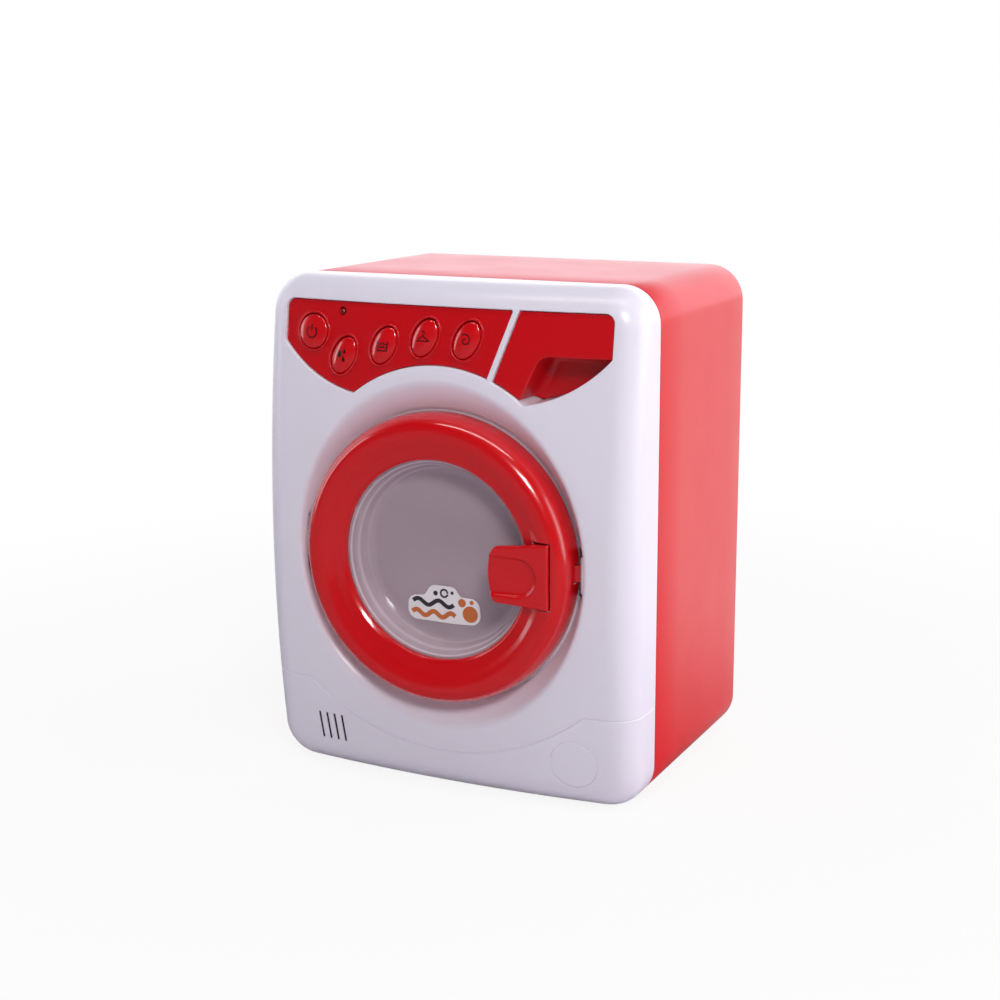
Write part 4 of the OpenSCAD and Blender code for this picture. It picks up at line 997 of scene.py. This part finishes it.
def speaker_slots():
    """Outlines of the four leaning slots in front of the speaker."""
    lean, hw, hh, apart = math.radians(5), 0.6, 6.3, 4.0
    c, s = math.cos(lean), math.sin(lean)
    slot = rounded([(-hw, -hh, 0.25), (hw, -hh, 0.25), (hw, hh, 0.25), (-hw, hh, 0.25)], 30)
    slot = np.stack([c * slot[:, 0] - s * slot[:, 1], s * slot[:, 0] + c * slot[:, 1]], 1)
    return [resample(slot + [SPEAKER_AT[0] + apart * k, SPEAKER_AT[1]], 1.0) for k in (-1.5, -0.5, 0.5, 1.5)]


def speaker_slot_shade():
    """Black strips that fill the slots from just below the face: painted shade in the slots."""
    form = Form()
    for loop in speaker_slots():
        loop = grow(loop, -0.02)
        form.loft([face_point(loop[:, 0], loop[:, 1], depth) for depth in (0.4, WALL + 0.4)])
    build("speaker_slot_painted_shade", form, BLACK_ABS, "case")


def front_shell():
    """White front half of the case: bulged face, recess round the door, rounded rim and sides."""
    form = Form()
    cut = 7.0      # the sheet ends this far in from the outline, where the rounded rim begins
    sheet = Sheet(outline(cut), spacing=2.2)
    for side in (-1, 1):
        sheet.hole(visor(side, 0), 0.55)
    start, fronts, backs = dish_loops()
    sheet.hole(start, 0.0)
    for loop in speaker_slots():
        sheet.hole(loop, 0.15, 2)
    circle = oval(BADGE_R, BADGE_R, 0, 120, BADGE_AT)
    for d, deep in ((0.375, 0.0), (0.0, LINE_DEEP), (-0.375, 0.0)):
        sheet.line(grow(circle, d), deep)
    skirt_line(sheet, cut)
    edges = sheet.make(form, lambda x, z, d: face_point(x, z, 0.0, d),
                       lambda x, z, d: face_point(x, z, WALL), wall=False)
    outer, recess = edges.pop(0), edges.pop(2)
    for front_ids, back_ids in edges:
        form.strip(front_ids, back_ids)
    # the recess takes over from its hole in the sheet
    form.strip(form.bands(recess[0], fronts[1:]), form.bands(recess[1], backs[1:]))
    # rounded rim and sides, nicked where the skirt line runs out
    nick = [key in ("left", "right") and abs(v - SKIRT_SIDE_Z) < 0.01 for key, v in SAMPLES]
    inner_r = EDGE_R - WALL
    fronts, backs = [], []
    for t in np.linspace(math.acos(1 - cut / EDGE_R), 0, 15)[1:]:
        p, q = outline(EDGE_R * (1 - math.cos(t))), outline(WALL + inner_r * (1 - math.cos(t)))
        f = flat(p, 0)
        f[:, 1] = crown(p[:, 0], p[:, 1]) + EDGE_R * (1 - math.sin(t))
        b = flat(q, 0)
        b[:, 1] = crown(q[:, 0], q[:, 1]) + WALL + inner_r * (1 - math.sin(t))
        f[nick, 0] -= np.sign(f[nick, 0]) * LINE_NICK * math.cos(t)
        f[nick, 1] += LINE_NICK * math.sin(t)
        fronts.append(f)
        backs.append(b)
    for y, t in [(SEAM_Y - 2.5, 0), (SEAM_Y - SEAM_ROUND, 0), (SEAM_Y - 0.13, 0.13), (SEAM_Y, SEAM_ROUND)]:
        f = flat(outline(t), y)
        f[nick, 0] -= np.sign(f[nick, 0]) * LINE_NICK
        fronts.append(f)
        backs.append(flat(outline(WALL), y))
    form.strip(form.bands(outer[0], fronts), form.bands(outer[1], backs))
    shell = build("front_shell_skin", form, WHITE_ABS, "case", ("front_shell",), merge=2e-6)
    # slits for the hinge arms and the pocket for the handle's tongue
    cutter, hh = Form(), 4.0
    for z in (DOOR_Z - HINGE_Z, DOOR_Z + HINGE_Z):
        cutter.box((-76.0, 6.4, z - hh), (-69.0, 18.4, z + hh))
        cutter.box((-74.0, 6.5, z - hh), (-56.0, 19.5, z + hh))
    cutter.box((62.0, 5.0, DOOR_Z - 10.3), (69.6, 16.0, DOOR_Z + 10.3))
    cut_away(shell, cutter)


def skirt_line(sheet, cut):
    """The moulded line across the lower face: an arc that runs level to both sides."""
    kink = math.sqrt(SKIRT_R ** 2 - (SKIRT_Z - SKIRT_SIDE_Z) ** 2)
    side = CASE_W / 2 - cut
    a = math.asin(kink / SKIRT_R)
    middle = [(SKIRT_R * math.sin(t), SKIRT_Z - SKIRT_R * math.cos(t)) for t in np.linspace(-a, a, 110)]
    level = lambda s: [(s * x, SKIRT_SIDE_Z) for x in np.linspace(side, kink + 1.0, 8)]
    path = np.array(level(-1) + middle + level(1)[::-1])
    step = np.gradient(path, axis=0)
    normal = np.stack([-step[:, 1], step[:, 0]], 1)
    normal /= np.linalg.norm(normal, axis=1, keepdims=True)
    for d, depth in ((-LINE_HW, 0.0), (0.0, LINE_DEEP), (LINE_HW, 0.0)):
        line = path + normal * d
        line[0], line[-1] = (-side, SKIRT_SIDE_Z + d), (side, SKIRT_SIDE_Z + d)
        ids = sheet.line(line[1:-1], depth, closed=False)
        ends = [min(sheet.outer_ids, key=lambda i: math.dist(sheet.points[i], line[k])) for k in (0, -1)]
        sheet.edges += [(ends[0], ids[0]), (ids[-1], ends[1])]
        for i in ends:
            sheet.drop[i] = max(sheet.drop[i], depth)


# Rear housing

def rear_housing():
    """Red rear half of the case, with four screw wells and the opening of the battery door."""
    form = Form()
    r = 3.0
    sheet = Sheet(outline(r), spacing=5.0)
    w, (low, high) = BATTERY_X, BATTERY_Z
    door = rounded([(-w, low, 1.2), (w, low, 1.2), (w, high, 1.2), (-w, high, 1.2)], 15)
    sheet.hole(resample(door, 4.0), 0.4)
    for p in WELLS:
        sheet.hole(oval(3.7, 3.7, 0, 48, p), 0.5)
    outer, door, *wells = sheet.make(form, plane(CASE_D, -1.0), plane(CASE_D - WALL), wall=False)
    form.strip(*door)
    for (front_ids, back_ids), p in zip(wells, WELLS):
        circle = lambda q, y: flat(oval(q, q, 0, 48, p), y)
        hole, end = 1.55, SEAT_Y - 3.0
        well = [circle(3.7, SEAT_Y + 0.3), circle(3.4, SEAT_Y), circle(hole, SEAT_Y), circle(hole, end)]
        boss = [circle(5.2, CASE_D - WALL), circle(5.2, end + 0.3), circle(4.9, end)]
        form.strip(form.bands(front_ids, well), form.bands(back_ids, boss))
    fronts = [flat(outline(r * (1 - math.sin(t))), CASE_D - r * (1 - math.cos(t)))
              for t in np.linspace(0, math.pi / 2, 8)[1:]]
    backs = [flat(outline(WALL), CASE_D - WALL - 0.4)]
    for y, t in [(120, 0), (90, 0), (60, 0), (SEAM_Y + 0.7, 0), (SEAM_Y + 0.38, 0.13),
                 (SEAM_Y + SEAM_GAP, SEAM_ROUND)]:
        fronts.append(flat(outline(t), y))
        backs.append(flat(outline(WALL), y))
    form.strip(form.bands(outer[0], fronts), form.bands(outer[1], backs))
    build("rear_housing_skin", form, CASE_RED, "case", ("rear_housing",))


# Door

def ring_profile():
    """Section of the door ring: bead outside, soft crease, slope down to the rim."""
    skin, middle, a, y, b = 2.2, 56.0, 6.5, 6.0, 9.4
    bead = lambda angles, t: [(middle + (a - t) * math.cos(v), y - (b - t) * math.sin(v), 0)
                              for v in np.radians(angles)]
    crease = [(middle - 7.6 * math.sin(v), y - b + 4.4 * (1 - math.cos(v)), 0)
              for v in np.radians(range(8, 45, 6))]
    return rounded([
        (RING_R, 11.0, 0.3), *bead(range(0, 91, 5), 0), *crease, (48.6, -1.0, 6.0), (44.4, 0.2, 1.2),
        (RIM_R, 1.4, 0.5), (RIM_R, 3.5, 0), (44.7, 3.5, 0), (44.8, 2.4, 0), (49.8, 1.0, 0),
        *bead(range(90, -1, -10), skin), (RING_R - skin, 11.0, 0)], 10)


def door_ring():
    """Red bead ring, open for the handle, its tongue and the hinge arms."""
    ring = turned_piece("door_ring_bead", ring_profile(), 256, RED_ABS, ("door_ring",))
    low, high, out = DOOR_Z - GRIP_HH - 0.5, DOOR_Z + GRIP_HH + 0.5, GRIP_END + 0.7
    gap = ccw(rounded([(46.8, low, 0), (out, low, 0.8), (out, high, 0.8), (46.8, high, 0)], 20))
    cutter = Form()
    cutter.loft([flat(gap, -10), flat(gap, 3.2)])
    cutter.box((54.0, 5.6, DOOR_Z - TONGUE_HW - 0.6), (66.0, 13.6, DOOR_Z + TONGUE_HW + 0.6))
    for z in (DOOR_Z - HINGE_Z, DOOR_Z + HINGE_Z):
        cutter.box((-66.0, 8.0, z - 3.9), (-58.0, 16.0, z + 3.9))
    cut_away(ring, cutter)


def door_window():
    """Clear bowl with its flange behind the rim."""
    r, back = RIM_R - 0.9, BOWL_DEPTH + BOWL_WALL
    low = r - 5
    turned_piece("door_window_bowl", rounded([
        (r, 3.5, 0.6), (r + 6.4, 3.5, 0), (r + 6.4, 5.0, 0), (r + 1.5, 5.0, 0.3), (low + 1.6, back, 6.0),
        (0, back, 0), (0, BOWL_DEPTH, 0), (low, BOWL_DEPTH, 4.6)], 10), 224, POLYCARBONATE, ("door_window",))


def case_screws():
    """Four long screws in the wells of the rear wall."""
    sizes = {"Head Radius": 0.003, "Head Height": 0.0022, "Shank Radius": 0.0015, "Length": 0.018,
             "Pitch": 0.0011, "Recess Width": 0.0008, "Turn": (math.radians(-90), 0.0, 0.0), "Turn Each": 0.0}
    seats = [(x, SEAT_Y, z) for x, z in sorted(WELLS)]
    grown("case_screws_threaded", screw_tree(), seats, sizes, ZINC_STEEL, "case", ("case_screws",))


def contact_springs():
    """Conical springs of the battery contacts."""
    long, wire, out = 6.58, 0.3, 21.91
    sizes = {"Turns": 4.5, "Start Radius": 0.0027, "End Radius": 0.0047, "Length": (long - 2 * wire) / 1000,
             "Wire Radius": wire / 1000, "Turn": (0.0, math.radians(-90), 0.0), "Turn Each": math.pi}
    seats = [((out + wire) * side, 125.6, z) for side, z in ((-1, 13.0), (1, 29.0), (-1, 45.0))]
    grown("contact_springs_wound", spring_tree(), seats, sizes, SPRING_STEEL, "case", ("contact_springs",))


def scoop(x, z):
    """Depth of the thumb scoop, open to the left and deepest at its round end."""
    r = np.hypot(np.clip(x - SCOOP_X, 0, None), z - SCOOP_Z)
    wall = np.clip((SCOOP_R - r) / SCOOP_WALL, 0, 1)
    return wall * wall * (3 - 2 * wall) * (1.0 + 0.55 * np.clip((x - 30) / 16, 0, 1))


def door_handle():
    """Handle plate with its thumb scoop, and the body and tongue behind it."""
    form = Form()
    corners = [(GRIP_END, -GRIP_HH, 0.5), (GRIP_END, GRIP_HH, 0.5), (30.6, 10.9, 2.8), (28.2, 6.6, 0),
               (27.75, 3.2, 0), (27.6, -0.6, 0), (27.8, -4.2, 0), (28.5, -7.8, 0), (30.2, -12.7, 3.2)]
    sheet = Sheet(ccw(resample(rounded(corners, 8), 0.8)), spacing=0.8)
    sheet.edge(0.8, 5)
    # crisp wall round the thumb scoop: lines from its upper to its lower edge
    run = np.arange(30.4, SCOOP_X, 0.8)
    for inset in (0, 0.3, 0.7, 1.1, SCOOP_WALL):
        r = SCOOP_R - inset
        round_end = [(SCOOP_X + r * math.cos(t), SCOOP_Z + r * math.sin(t))
                     for t in np.radians(np.arange(90, -91, -7.5))]
        line = [(x, SCOOP_Z + r) for x in run] + round_end + [(x, SCOOP_Z - r) for x in run[::-1]]
        sheet.line(line, closed=False)
    sheet.make(form, lambda x, z, d: np.stack([x, -GRIP_PROUD + d + scoop(x, z), DOOR_Z + z], 1),
               lambda x, z, d: np.stack([x, np.full(len(x), -2.4), DOOR_Z + z], 1))
    form.prism(rounded([(47.4, -2.5, 0), (54.6, -2.5, 0), (54.6, 0.8, 0), (53.4, 3.0, 0.6), (47.4, 2.6, 0.6)],
                       20), DOOR_Z - 13.2, DOOR_Z + 13.2)
    form.prism(rounded([(50, 2, 0), (54, 1, 0), (58.6, 6.4, 0.8), (64.6, 8.2, 0.3), (64.6, 9.4, 0.3),
                        (63.4, 10.6, 0.4), (56.6, 8, 0.8)], 20), DOOR_Z - TONGUE_HW, DOOR_Z + TONGUE_HW)
    build("door_handle_grip", form, RED_ABS, "handle", ("door_handle",), sharp=38, merge=1e-7)


# Panel, buttons and drawer

def control_panel():
    """Red plate with a raised rim round each button, and the posts that hold the board."""
    form = Form()
    sheet = Sheet(visor(-1, -0.25), spacing=1.8)
    sheet.edge(0.4, 3)
    for key, p in BUTTONS.items():
        hole = button_outline(key, GAP) + np.array(p)
        for i in sheet.hole(hole, 0.0):
            sheet.drop[i] = -0.45
        # rim, rounded on top: distance from the opening and height
        for d, rise in [(0.12, 0.72), (0.35, 0.88), (0.65, 0.88), (0.9, 0.68), (1.02, 0.3), (1.12, 0.06),
                        (1.35, 0.0)]:
            sheet.line(grow(ccw(hole), d), -rise)
    sheet.hole(oval(LED_R + 0.25, LED_R + 0.25, 0, 40, LED_AT), 0.25, 2)
    sheet.make(form, layer(PANEL_SINK), layer(PANEL_SINK + PANEL_T, 0.0))
    for p in [(-33, 206.4), (-57.8, 181.8), (3.6, 207)]:
        form.post(p, 2.2, float(crown(*p)) + 4.0, BOARD_Y)
    build("control_panel_plate", form, PANEL_RED, "case", ("control_panel",), sharp=40)


def dome_y(key, share):
    """Depth of a cap's surface, share of the way from its middle to its edge."""
    _, tall, _, ball = cap(key)
    return ball - DOME_PROUD - np.sqrt(ball ** 2 - np.square(tall * share))


def button(key):
    """Domed key cap with its flange and stem."""
    whole = face_frame(BUTTONS[key], PANEL_SINK)
    form, edge_y = Form(), dome_y(key, 1.0)
    loops = [flat(button_outline(key, 0) * share, dome_y(key, share))
             for share in (0.12, 0.25, 0.4, 0.55, 0.68, 0.79, 0.87)]
    loops += [flat(button_outline(key, d), y) for d, y in [
        (-0.55, dome_y(key, 0.93) - 0.02), (-0.3, edge_y + 0.02), (-0.1, edge_y + 0.22), (0, edge_y + 0.6),
        (0, 3.25), (1.2, 3.25), (1.2, 4.4)]]
    stem_end = BOARD_Y - float(crown(*BUTTONS[key])) - PANEL_SINK - 2.9
    loops += [flat(oval(2.0, 2.0, 0), y) for y in (4.4, stem_end)]
    rows = form.loft([moved(loop, whole) for loop in loops], caps=False)
    form.fan(rows[0], tuple(moved([(0, dome_y(key, 0), 0)], whole)[0]))
    form.faces.append(tuple(rows[-1]))
    build(key + "_button_cap", form, RED_ABS, key + "_button", (key + "_button",), sharp=50)


def pocket_path(d):
    """Edge of the finger pocket: level top, round corner, leaning side; drawn out by d."""
    lean = (46.4 - 36.0) / (193.0 - 171.0)
    side = lambda z: 46.4 - lean * (193.0 - z) - d * math.hypot(1, lean)
    top = POCKET_TOP + d
    return rounded([(100, top, 0), (side(top), top, 6.0 + d), (side(160), 160, 0), (100, 160, 0)], 6)[:-1]


def tray_loop(t):
    """Section of the tray, t inside its outer face."""
    loop = visor(1, -GAP - 0.5 - t)
    for ends in ([(36 + t, 240), (36 + t, 150)], [(0, 204), (120, 204)]):
        loop = cut_outline(loop, part_inside(evenly(ends, 80), loop), (55, 190))
    return loop


def detergent_drawer():
    """Drawer front with its finger pocket, and the open tray behind it."""
    form, plate = Form(), 2.2
    front = visor(1, -GAP)
    edge = lambda d: evenly(part_inside(pocket_path(d), front), 90)
    sheet = Sheet(resample(cut_outline(front, edge(0), (35, 200)), 1.2), spacing=1.8)
    sheet.edge(0.45, 4)
    sheet.make(form, layer(PANEL_SINK), layer(PANEL_SINK + plate, 0.0))
    # pocket: walls that run into its floor with a round; inset and height above the floor
    floor_y = float(crown(60, 185)) + PANEL_SINK + POCKET_DEEP
    behind = floor_y + DRAWER_T
    shell = edge(DRAWER_T)
    rows = []
    for inset, up in [(0, None), (0.15, 6.0), (0.35, 3.2), (0.9, 1.5), (1.9, 0.5), (3.4, 0.0)]:
        row = flat(np.vstack([edge(-inset), shell[::-1]]), floor_y - (up or 0))
        if up is None:
            row[:, 1] = layer_y(row[:, 0], row[:, 2], PANEL_SINK + plate)
        rows.append(row)
    form.loft(rows)
    floor = cut_outline(front, shell, (60, 185))
    form.loft([flat(floor, floor_y), flat(floor, behind)])
    build("detergent_drawer_front", form, PANEL_RED, "drawer", ("detergent_drawer",), sharp=40)
    # tray, open on top behind the pocket
    form, hollow, top = Form(), Form(), Form()
    form.loft([flat(tray_loop(0), floor_y + 0.2), flat(tray_loop(0), TRAY_END)])
    tray = build("detergent_drawer_tray", form, PANEL_RED, "drawer", sharp=40)
    hollow.loft([flat(tray_loop(DRAWER_T), behind), flat(tray_loop(DRAWER_T), TRAY_END - DRAWER_T)])
    top.box((20, behind, 196), (100, TRAY_END - DRAWER_T, 230))
    for cutter in (hollow, top):
        cut_away(tray, cutter)


def drawer_collar():
    """White collar behind the edge of the drawer's opening, which guides the drawer."""
    form, end = Form(), 24
    near_wall = visor(1, 0.03)
    far_wall = grow(near_wall, 1.77)
    start = lambda loop: np.stack([loop[:, 0], crown(loop[:, 0], loop[:, 1]) + 1.6, loop[:, 1]], 1)
    rows = form.loft([start(near_wall), flat(near_wall, end), flat(far_wall, end), start(far_wall)],
                     caps=False)
    form.strip(rows[-1], rows[0])
    build("drawer_opening_collar", form, WHITE_ABS, "case")


# Prints

def ring_path(at, r, start=0.0, end=360.0, step=10.0):
    """Part of a circle, between two angles in degrees."""
    t = np.radians(np.arange(start, end + 0.1, step))
    return np.stack([at[0] + r * np.cos(t), at[1] + r * np.sin(t)], 1)


def drop_outline(at, r):
    """Closed outline of a drop of water, pointed at the top."""
    t = np.radians(np.arange(0, 360, 12))
    return ccw(np.stack([at[0] + r * np.sin(t) * np.sin(t / 2) ** 1.4, at[1] + 1.35 * r * np.cos(t)], 1))


def line_of(*points):
    """Straight runs as a path with close points."""
    points = np.array(points, float)
    out = [points[0]]
    for a, b in zip(points, points[1:]):
        count = max(1, int(np.linalg.norm(b - a) / 0.5))
        out += [a + (b - a) * (k + 1) / count for k in range(count)]
    return np.array(out)


def wave_path(x0, x1, z, high, turns):
    """A wavy line from x0 to x1."""
    x = np.linspace(x0, x1, 40)
    return np.stack([x, z + high * np.sin((x - x0) / (x1 - x0) * turns * 2 * math.pi)], 1)


# Plain picture of each programme, in mm from the middle of its button
PICTURES = {
    # standby mark
    "power": [stroke(ring_path((0, -0.3), 2.5, 128, 412, 8), 0.62),
              stroke(line_of((0, 0.2), (0, 3.1)), 0.62)],
    # three drops
    "rinse": [drop_outline((-1.1, 0.9), 1.35), drop_outline((1.3, 1.7), 0.85),
              drop_outline((0.9, -1.6), 1.0)],
    # wash tub with two waves of water
    "wash": [stroke(line_of((-2.7, 1.6), (-2.1, -2.2), (2.1, -2.2), (2.7, 1.6)), 0.5),
             stroke(wave_path(-2.1, 2.1, 0.7, 0.35, 2), 0.42),
             stroke(wave_path(-1.7, 1.7, -0.7, 0.35, 2), 0.42)],
    # clothes hanger
    "clothes": [stroke(line_of((0, 0.9), (2.9, -1.3), (-2.9, -1.3), (0, 0.9)), 0.5),
                stroke(ring_path((0, 2.0), 0.75, -90, 160, 12), 0.45)],
    # spiral of the spin
    "spin": [stroke([(0.32 * t * math.cos(t), 0.32 * t * math.sin(t)) for t in np.arange(1.2, 8.6, 0.18)],
                    0.5)],
}


def button_print(key):
    """Picture printed on a button's dome, its ink standing 0.035 mm above the cap."""
    wide, tall, lean, _ = cap(key)
    whole = face_frame(BUTTONS[key], PANEL_SINK)
    c, s = math.cos(math.radians(-lean)), math.sin(math.radians(-lean))

    def on_cap(lift):
        def places(x, z, d):
            share = np.hypot((c * x + s * z) / wide, (c * z - s * x) / tall)
            return moved(np.stack([x, dome_y(key, share) - lift, z], 1), whole)
        return places

    form = Form()
    for shape in PICTURES[key]:
        Sheet(shape, spacing=0.5).make(form, on_cap(0.035), on_cap(-0.03))
    build(key + "_button_print", form, INK, key + "_button", merge=0)


def window_sticker():
    """Die-cut label in the bowl: white border, with bubbles and waves printed on it."""
    def label(name, shapes, finish, lift, replaces=()):
        form = Form()
        for shape in shapes:
            sheet = Sheet(shape * STICKER_SCALE + np.array(STICKER_AT), spacing=1.0)
            sheet.make(form, plane(STICKER_Y - lift), plane(BOWL_DEPTH - 0.02))
        build(name, form, finish, "door", replaces, merge=0)

    edge = rounded([(-16, -6.8, 4.0), (-15.6, 2.6, 3.6), (-8.4, 3.4, 2.0), (-5.6, 7.9, 4.0), (4.6, 7.9, 3.6),
                    (7.4, 4.1, 2.0), (15.4, 4.0, 4.0), (16.4, -6.4, 4.0), (4, -7.0, 6.0)], 10)
    bubble = lambda r, at, count: oval(r, r, 0, count, at)
    label("window_sticker_label", [ccw(resample(edge, 0.8))], VINYL_WHITE, 0.0, ("window_sticker",))
    label("window_sticker_dark_print", [
        stroke(wave_path(-13.6, 4.4, 0.6, 1.1, 2), 1.7),
        stroke(ring_path((0.2, 4.9), 1.5, 0, 359.9, 10), 0.8),
        bubble(1.0, (-3.6, 4.6), 24), bubble(0.7, (3.7, 5.4), 20)], VINYL_CHARCOAL, 0.02)
    label("window_sticker_orange_print", [
        stroke(wave_path(-14.0, 5.0, -3.9, 1.0, 2.5), 1.9), bubble(3.3, (11.6, -2.3), 48),
        bubble(1.7, (8.0, 1.9), 32), bubble(0.9, (12.2, 2.5), 24)], VINYL_ORANGE, 0.02)


# Finishes of the CAD nodes that show as they are

FINISHES = [
    (ZINC_STEEL, "panel_screws board_screws door_screws hinge_pin latch_pin drum_shaft frame_screws "
                 "idler_pin motor_shaft strap_screws battery_door_screw speaker_screws"),
    (SPRING_STEEL, "latch_spring"), (MOTOR_CAN, "motor"), (BRASS, "drum_bearing motor_pinion"),
    (TINPLATE, "contact_plates"), (ACETAL, "drum_gear idler_gear"), (LED_LENS, "status_led"),
    (BOARD, "circuit_board"), (SILICONE, "power_dome rinse_dome wash_dome clothes_dome spin_dome"),
    (BLACK_ABS, "board_parts gear_frame motor_strap battery_box speaker speaker_retainer"),
    (DRUM_SHADED_GREY, "drum drum_rim drum_back_plate drum_lifters"), (CELL_WRAP, "battery_cells"),
    (WHITE_ABS, "drawer_guide door_catch"), (INNER_RED_SHADED, "door_back"), (CASE_RED, "battery_door"),
]


def dress_cad_nodes():
    """Gives each CAD node that shows as it is the material of the real part."""
    for finish, names in FINISHES:
        for name in names.split():
            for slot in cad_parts[name].material_slots:
                slot.material = finish


# Stage

LIT = (0, -0.03, 0.11)      # metres: what the lamps aim at


def lamp(name, at, aim, size, power, colour="#ffffff"):
    """A soft box: place, aim and size in metres, power in watts."""
    data = bpy.data.lights.new(name, "AREA")
    data.shape, data.size, data.size_y = "RECTANGLE", size[0], size[1]
    data.energy, data.color = power, srgb(colour)[:3]
    made = linked_object(name, data)
    made.location = at
    made.rotation_euler = (Vector(aim) - Vector(at)).to_track_quat("-Z", "Y").to_euler()


def floor():
    """Pale floor that keeps the toy's shadow; the camera sees it turn to plain white farther off."""
    made, tree = material("studio_floor")
    look = node(tree, "ShaderNodeLightPath").outputs
    at = node(tree, "ShaderNodeTexCoord").outputs["Object"]
    lit = node(tree, "ShaderNodeBsdfDiffuse", {"Color": srgb("#eae8ec")})
    dull = node(tree, "ShaderNodeBsdfDiffuse", {"Color": srgb("#7c7c7e")})
    bright = node(tree, "ShaderNodeEmission", {"Color": srgb("#ffffff")}, Strength=1.0)
    away = node(tree, "ShaderNodeVectorMath", {0: at}, operation="LENGTH").outputs["Value"]
    pale = node(tree, "ShaderNodeMapRange", {"Value": away}, From_Min=0.16, From_Max=0.6,
                To_Min=0.88, To_Max=1.0, interpolation_type="SMOOTHSTEP")
    share = node(tree, "ShaderNodeMath", {0: look["Is Camera Ray"], 1: pale}, operation="MULTIPLY")
    seen = node(tree, "ShaderNodeMixShader", {0: share, 1: lit, 2: bright})
    # glossy parts mirror a dull floor in front of the toy and a white one behind it
    behind = node(tree, "ShaderNodeSeparateXYZ", {0: at}).outputs["Y"]
    far = node(tree, "ShaderNodeMapRange", {"Value": behind}, From_Min=-0.05, From_Max=0.3,
               To_Min=0.0, To_Max=1.0, interpolation_type="SMOOTHSTEP")
    mirrored = node(tree, "ShaderNodeMixShader", {0: far, 1: dull, 2: bright})
    whole = node(tree, "ShaderNodeMixShader", {0: look["Is Glossy Ray"], 1: seen, 2: mirrored})
    node(tree, "ShaderNodeOutputMaterial", {"Surface": whole})
    mesh = bpy.data.meshes.new("floor")
    s = 12.0
    mesh.from_pydata([(-s, -s, 0), (s, -s, 0), (s, s, 0), (-s, s, 0)], [], [(0, 1, 2, 3)])
    mesh.materials.append(made)
    linked_object("floor", mesh)


def room():
    """White behind the toy and dim in front of it, with a darker ceiling."""
    world = bpy.data.worlds.new("studio")
    bpy.context.scene.world = world
    world.use_nodes = True
    tree = world.node_tree
    tree.nodes.clear()
    look = node(tree, "ShaderNodeLightPath").outputs
    seen = node(tree, "ShaderNodeMath", {0: look["Is Camera Ray"], 1: look["Is Transmission Ray"]},
                operation="MAXIMUM")
    at = node(tree, "ShaderNodeTexCoord").outputs["Generated"]
    way = node(tree, "ShaderNodeSeparateXYZ", {0: at}).outputs
    walls = node(tree, "ShaderNodeMapRange", {"Value": way["Y"]}, From_Min=-0.35, From_Max=0.35,
                 To_Min=0.07, To_Max=1.75, interpolation_type="SMOOTHSTEP")
    ceiling = node(tree, "ShaderNodeMapRange", {"Value": way["Z"]}, From_Min=0.35, From_Max=0.75,
                   To_Min=1.0, To_Max=0.2, interpolation_type="SMOOTHSTEP")
    level = node(tree, "ShaderNodeMath", {0: walls, 1: ceiling}, operation="MULTIPLY")
    lit = node(tree, "ShaderNodeBackground", {"Color": srgb("#f9f8ff"), "Strength": level})
    white = node(tree, "ShaderNodeBackground", {"Color": srgb("#ffffff")}, Strength=1.0)
    mix = node(tree, "ShaderNodeMixShader", {0: seen, 1: lit, 2: white})
    node(tree, "ShaderNodeOutputWorld", {"Surface": mix})


def camera():
    """The camera fitted to the photo: focal length and shift in pixels of its 1000, turn and place."""
    frame_px, focal_px, middle_x, middle_y = 1000, 1756.75, 536.94, 487.0
    data = bpy.data.cameras.new("camera")
    data.sensor_width = 36.0
    data.lens = focal_px * data.sensor_width / frame_px
    data.shift_x = (frame_px / 2 - middle_x) / frame_px
    data.shift_y = (middle_y - frame_px / 2) / frame_px
    data.clip_start, data.clip_end = 0.01, 20
    made = linked_object("camera", data)
    az, el = math.radians(25.07), math.radians(12.24)
    right = Vector((math.cos(az), math.sin(az), 0))
    forward = Vector((-math.sin(az) * math.cos(el), math.cos(az) * math.cos(el), -math.sin(el)))
    turn = Matrix((right, right.cross(forward), -forward)).transposed()
    made.matrix_world = Matrix.Translation((0.34188, -0.69452, 0.29063)) @ turn.to_4x4()
    bpy.context.scene.camera = made
    bpy.context.scene.view_settings.view_transform = "Standard"


floor()
room()
lamp("key_softbox", (0.75, -1.05, 1.0), LIT, (0.36, 0.3), 10.0)
lamp("overhead_strip", (0.05, -0.3, 1.1), LIT, (0.9, 0.07), 3.0)
lamp("side_softbox_right", (1.3, 0.35, 0.45), (0.08, 0, 0.11), (0.9, 1.0), 6.0)
lamp("left_strip", (-1.2, -0.4, 0.35), (0, -0.05, 0.11), (0.25, 0.8), 1.9, "#faf9ff")
camera()
front_shell()
rear_housing()
door_ring()
door_window()
door_handle()
control_panel()
for key in BUTTONS:
    button(key)
    button_print(key)
detergent_drawer()
drawer_collar()
window_sticker()
speaker_slot_shade()
case_screws()
contact_springs()
dress_cad_nodes()
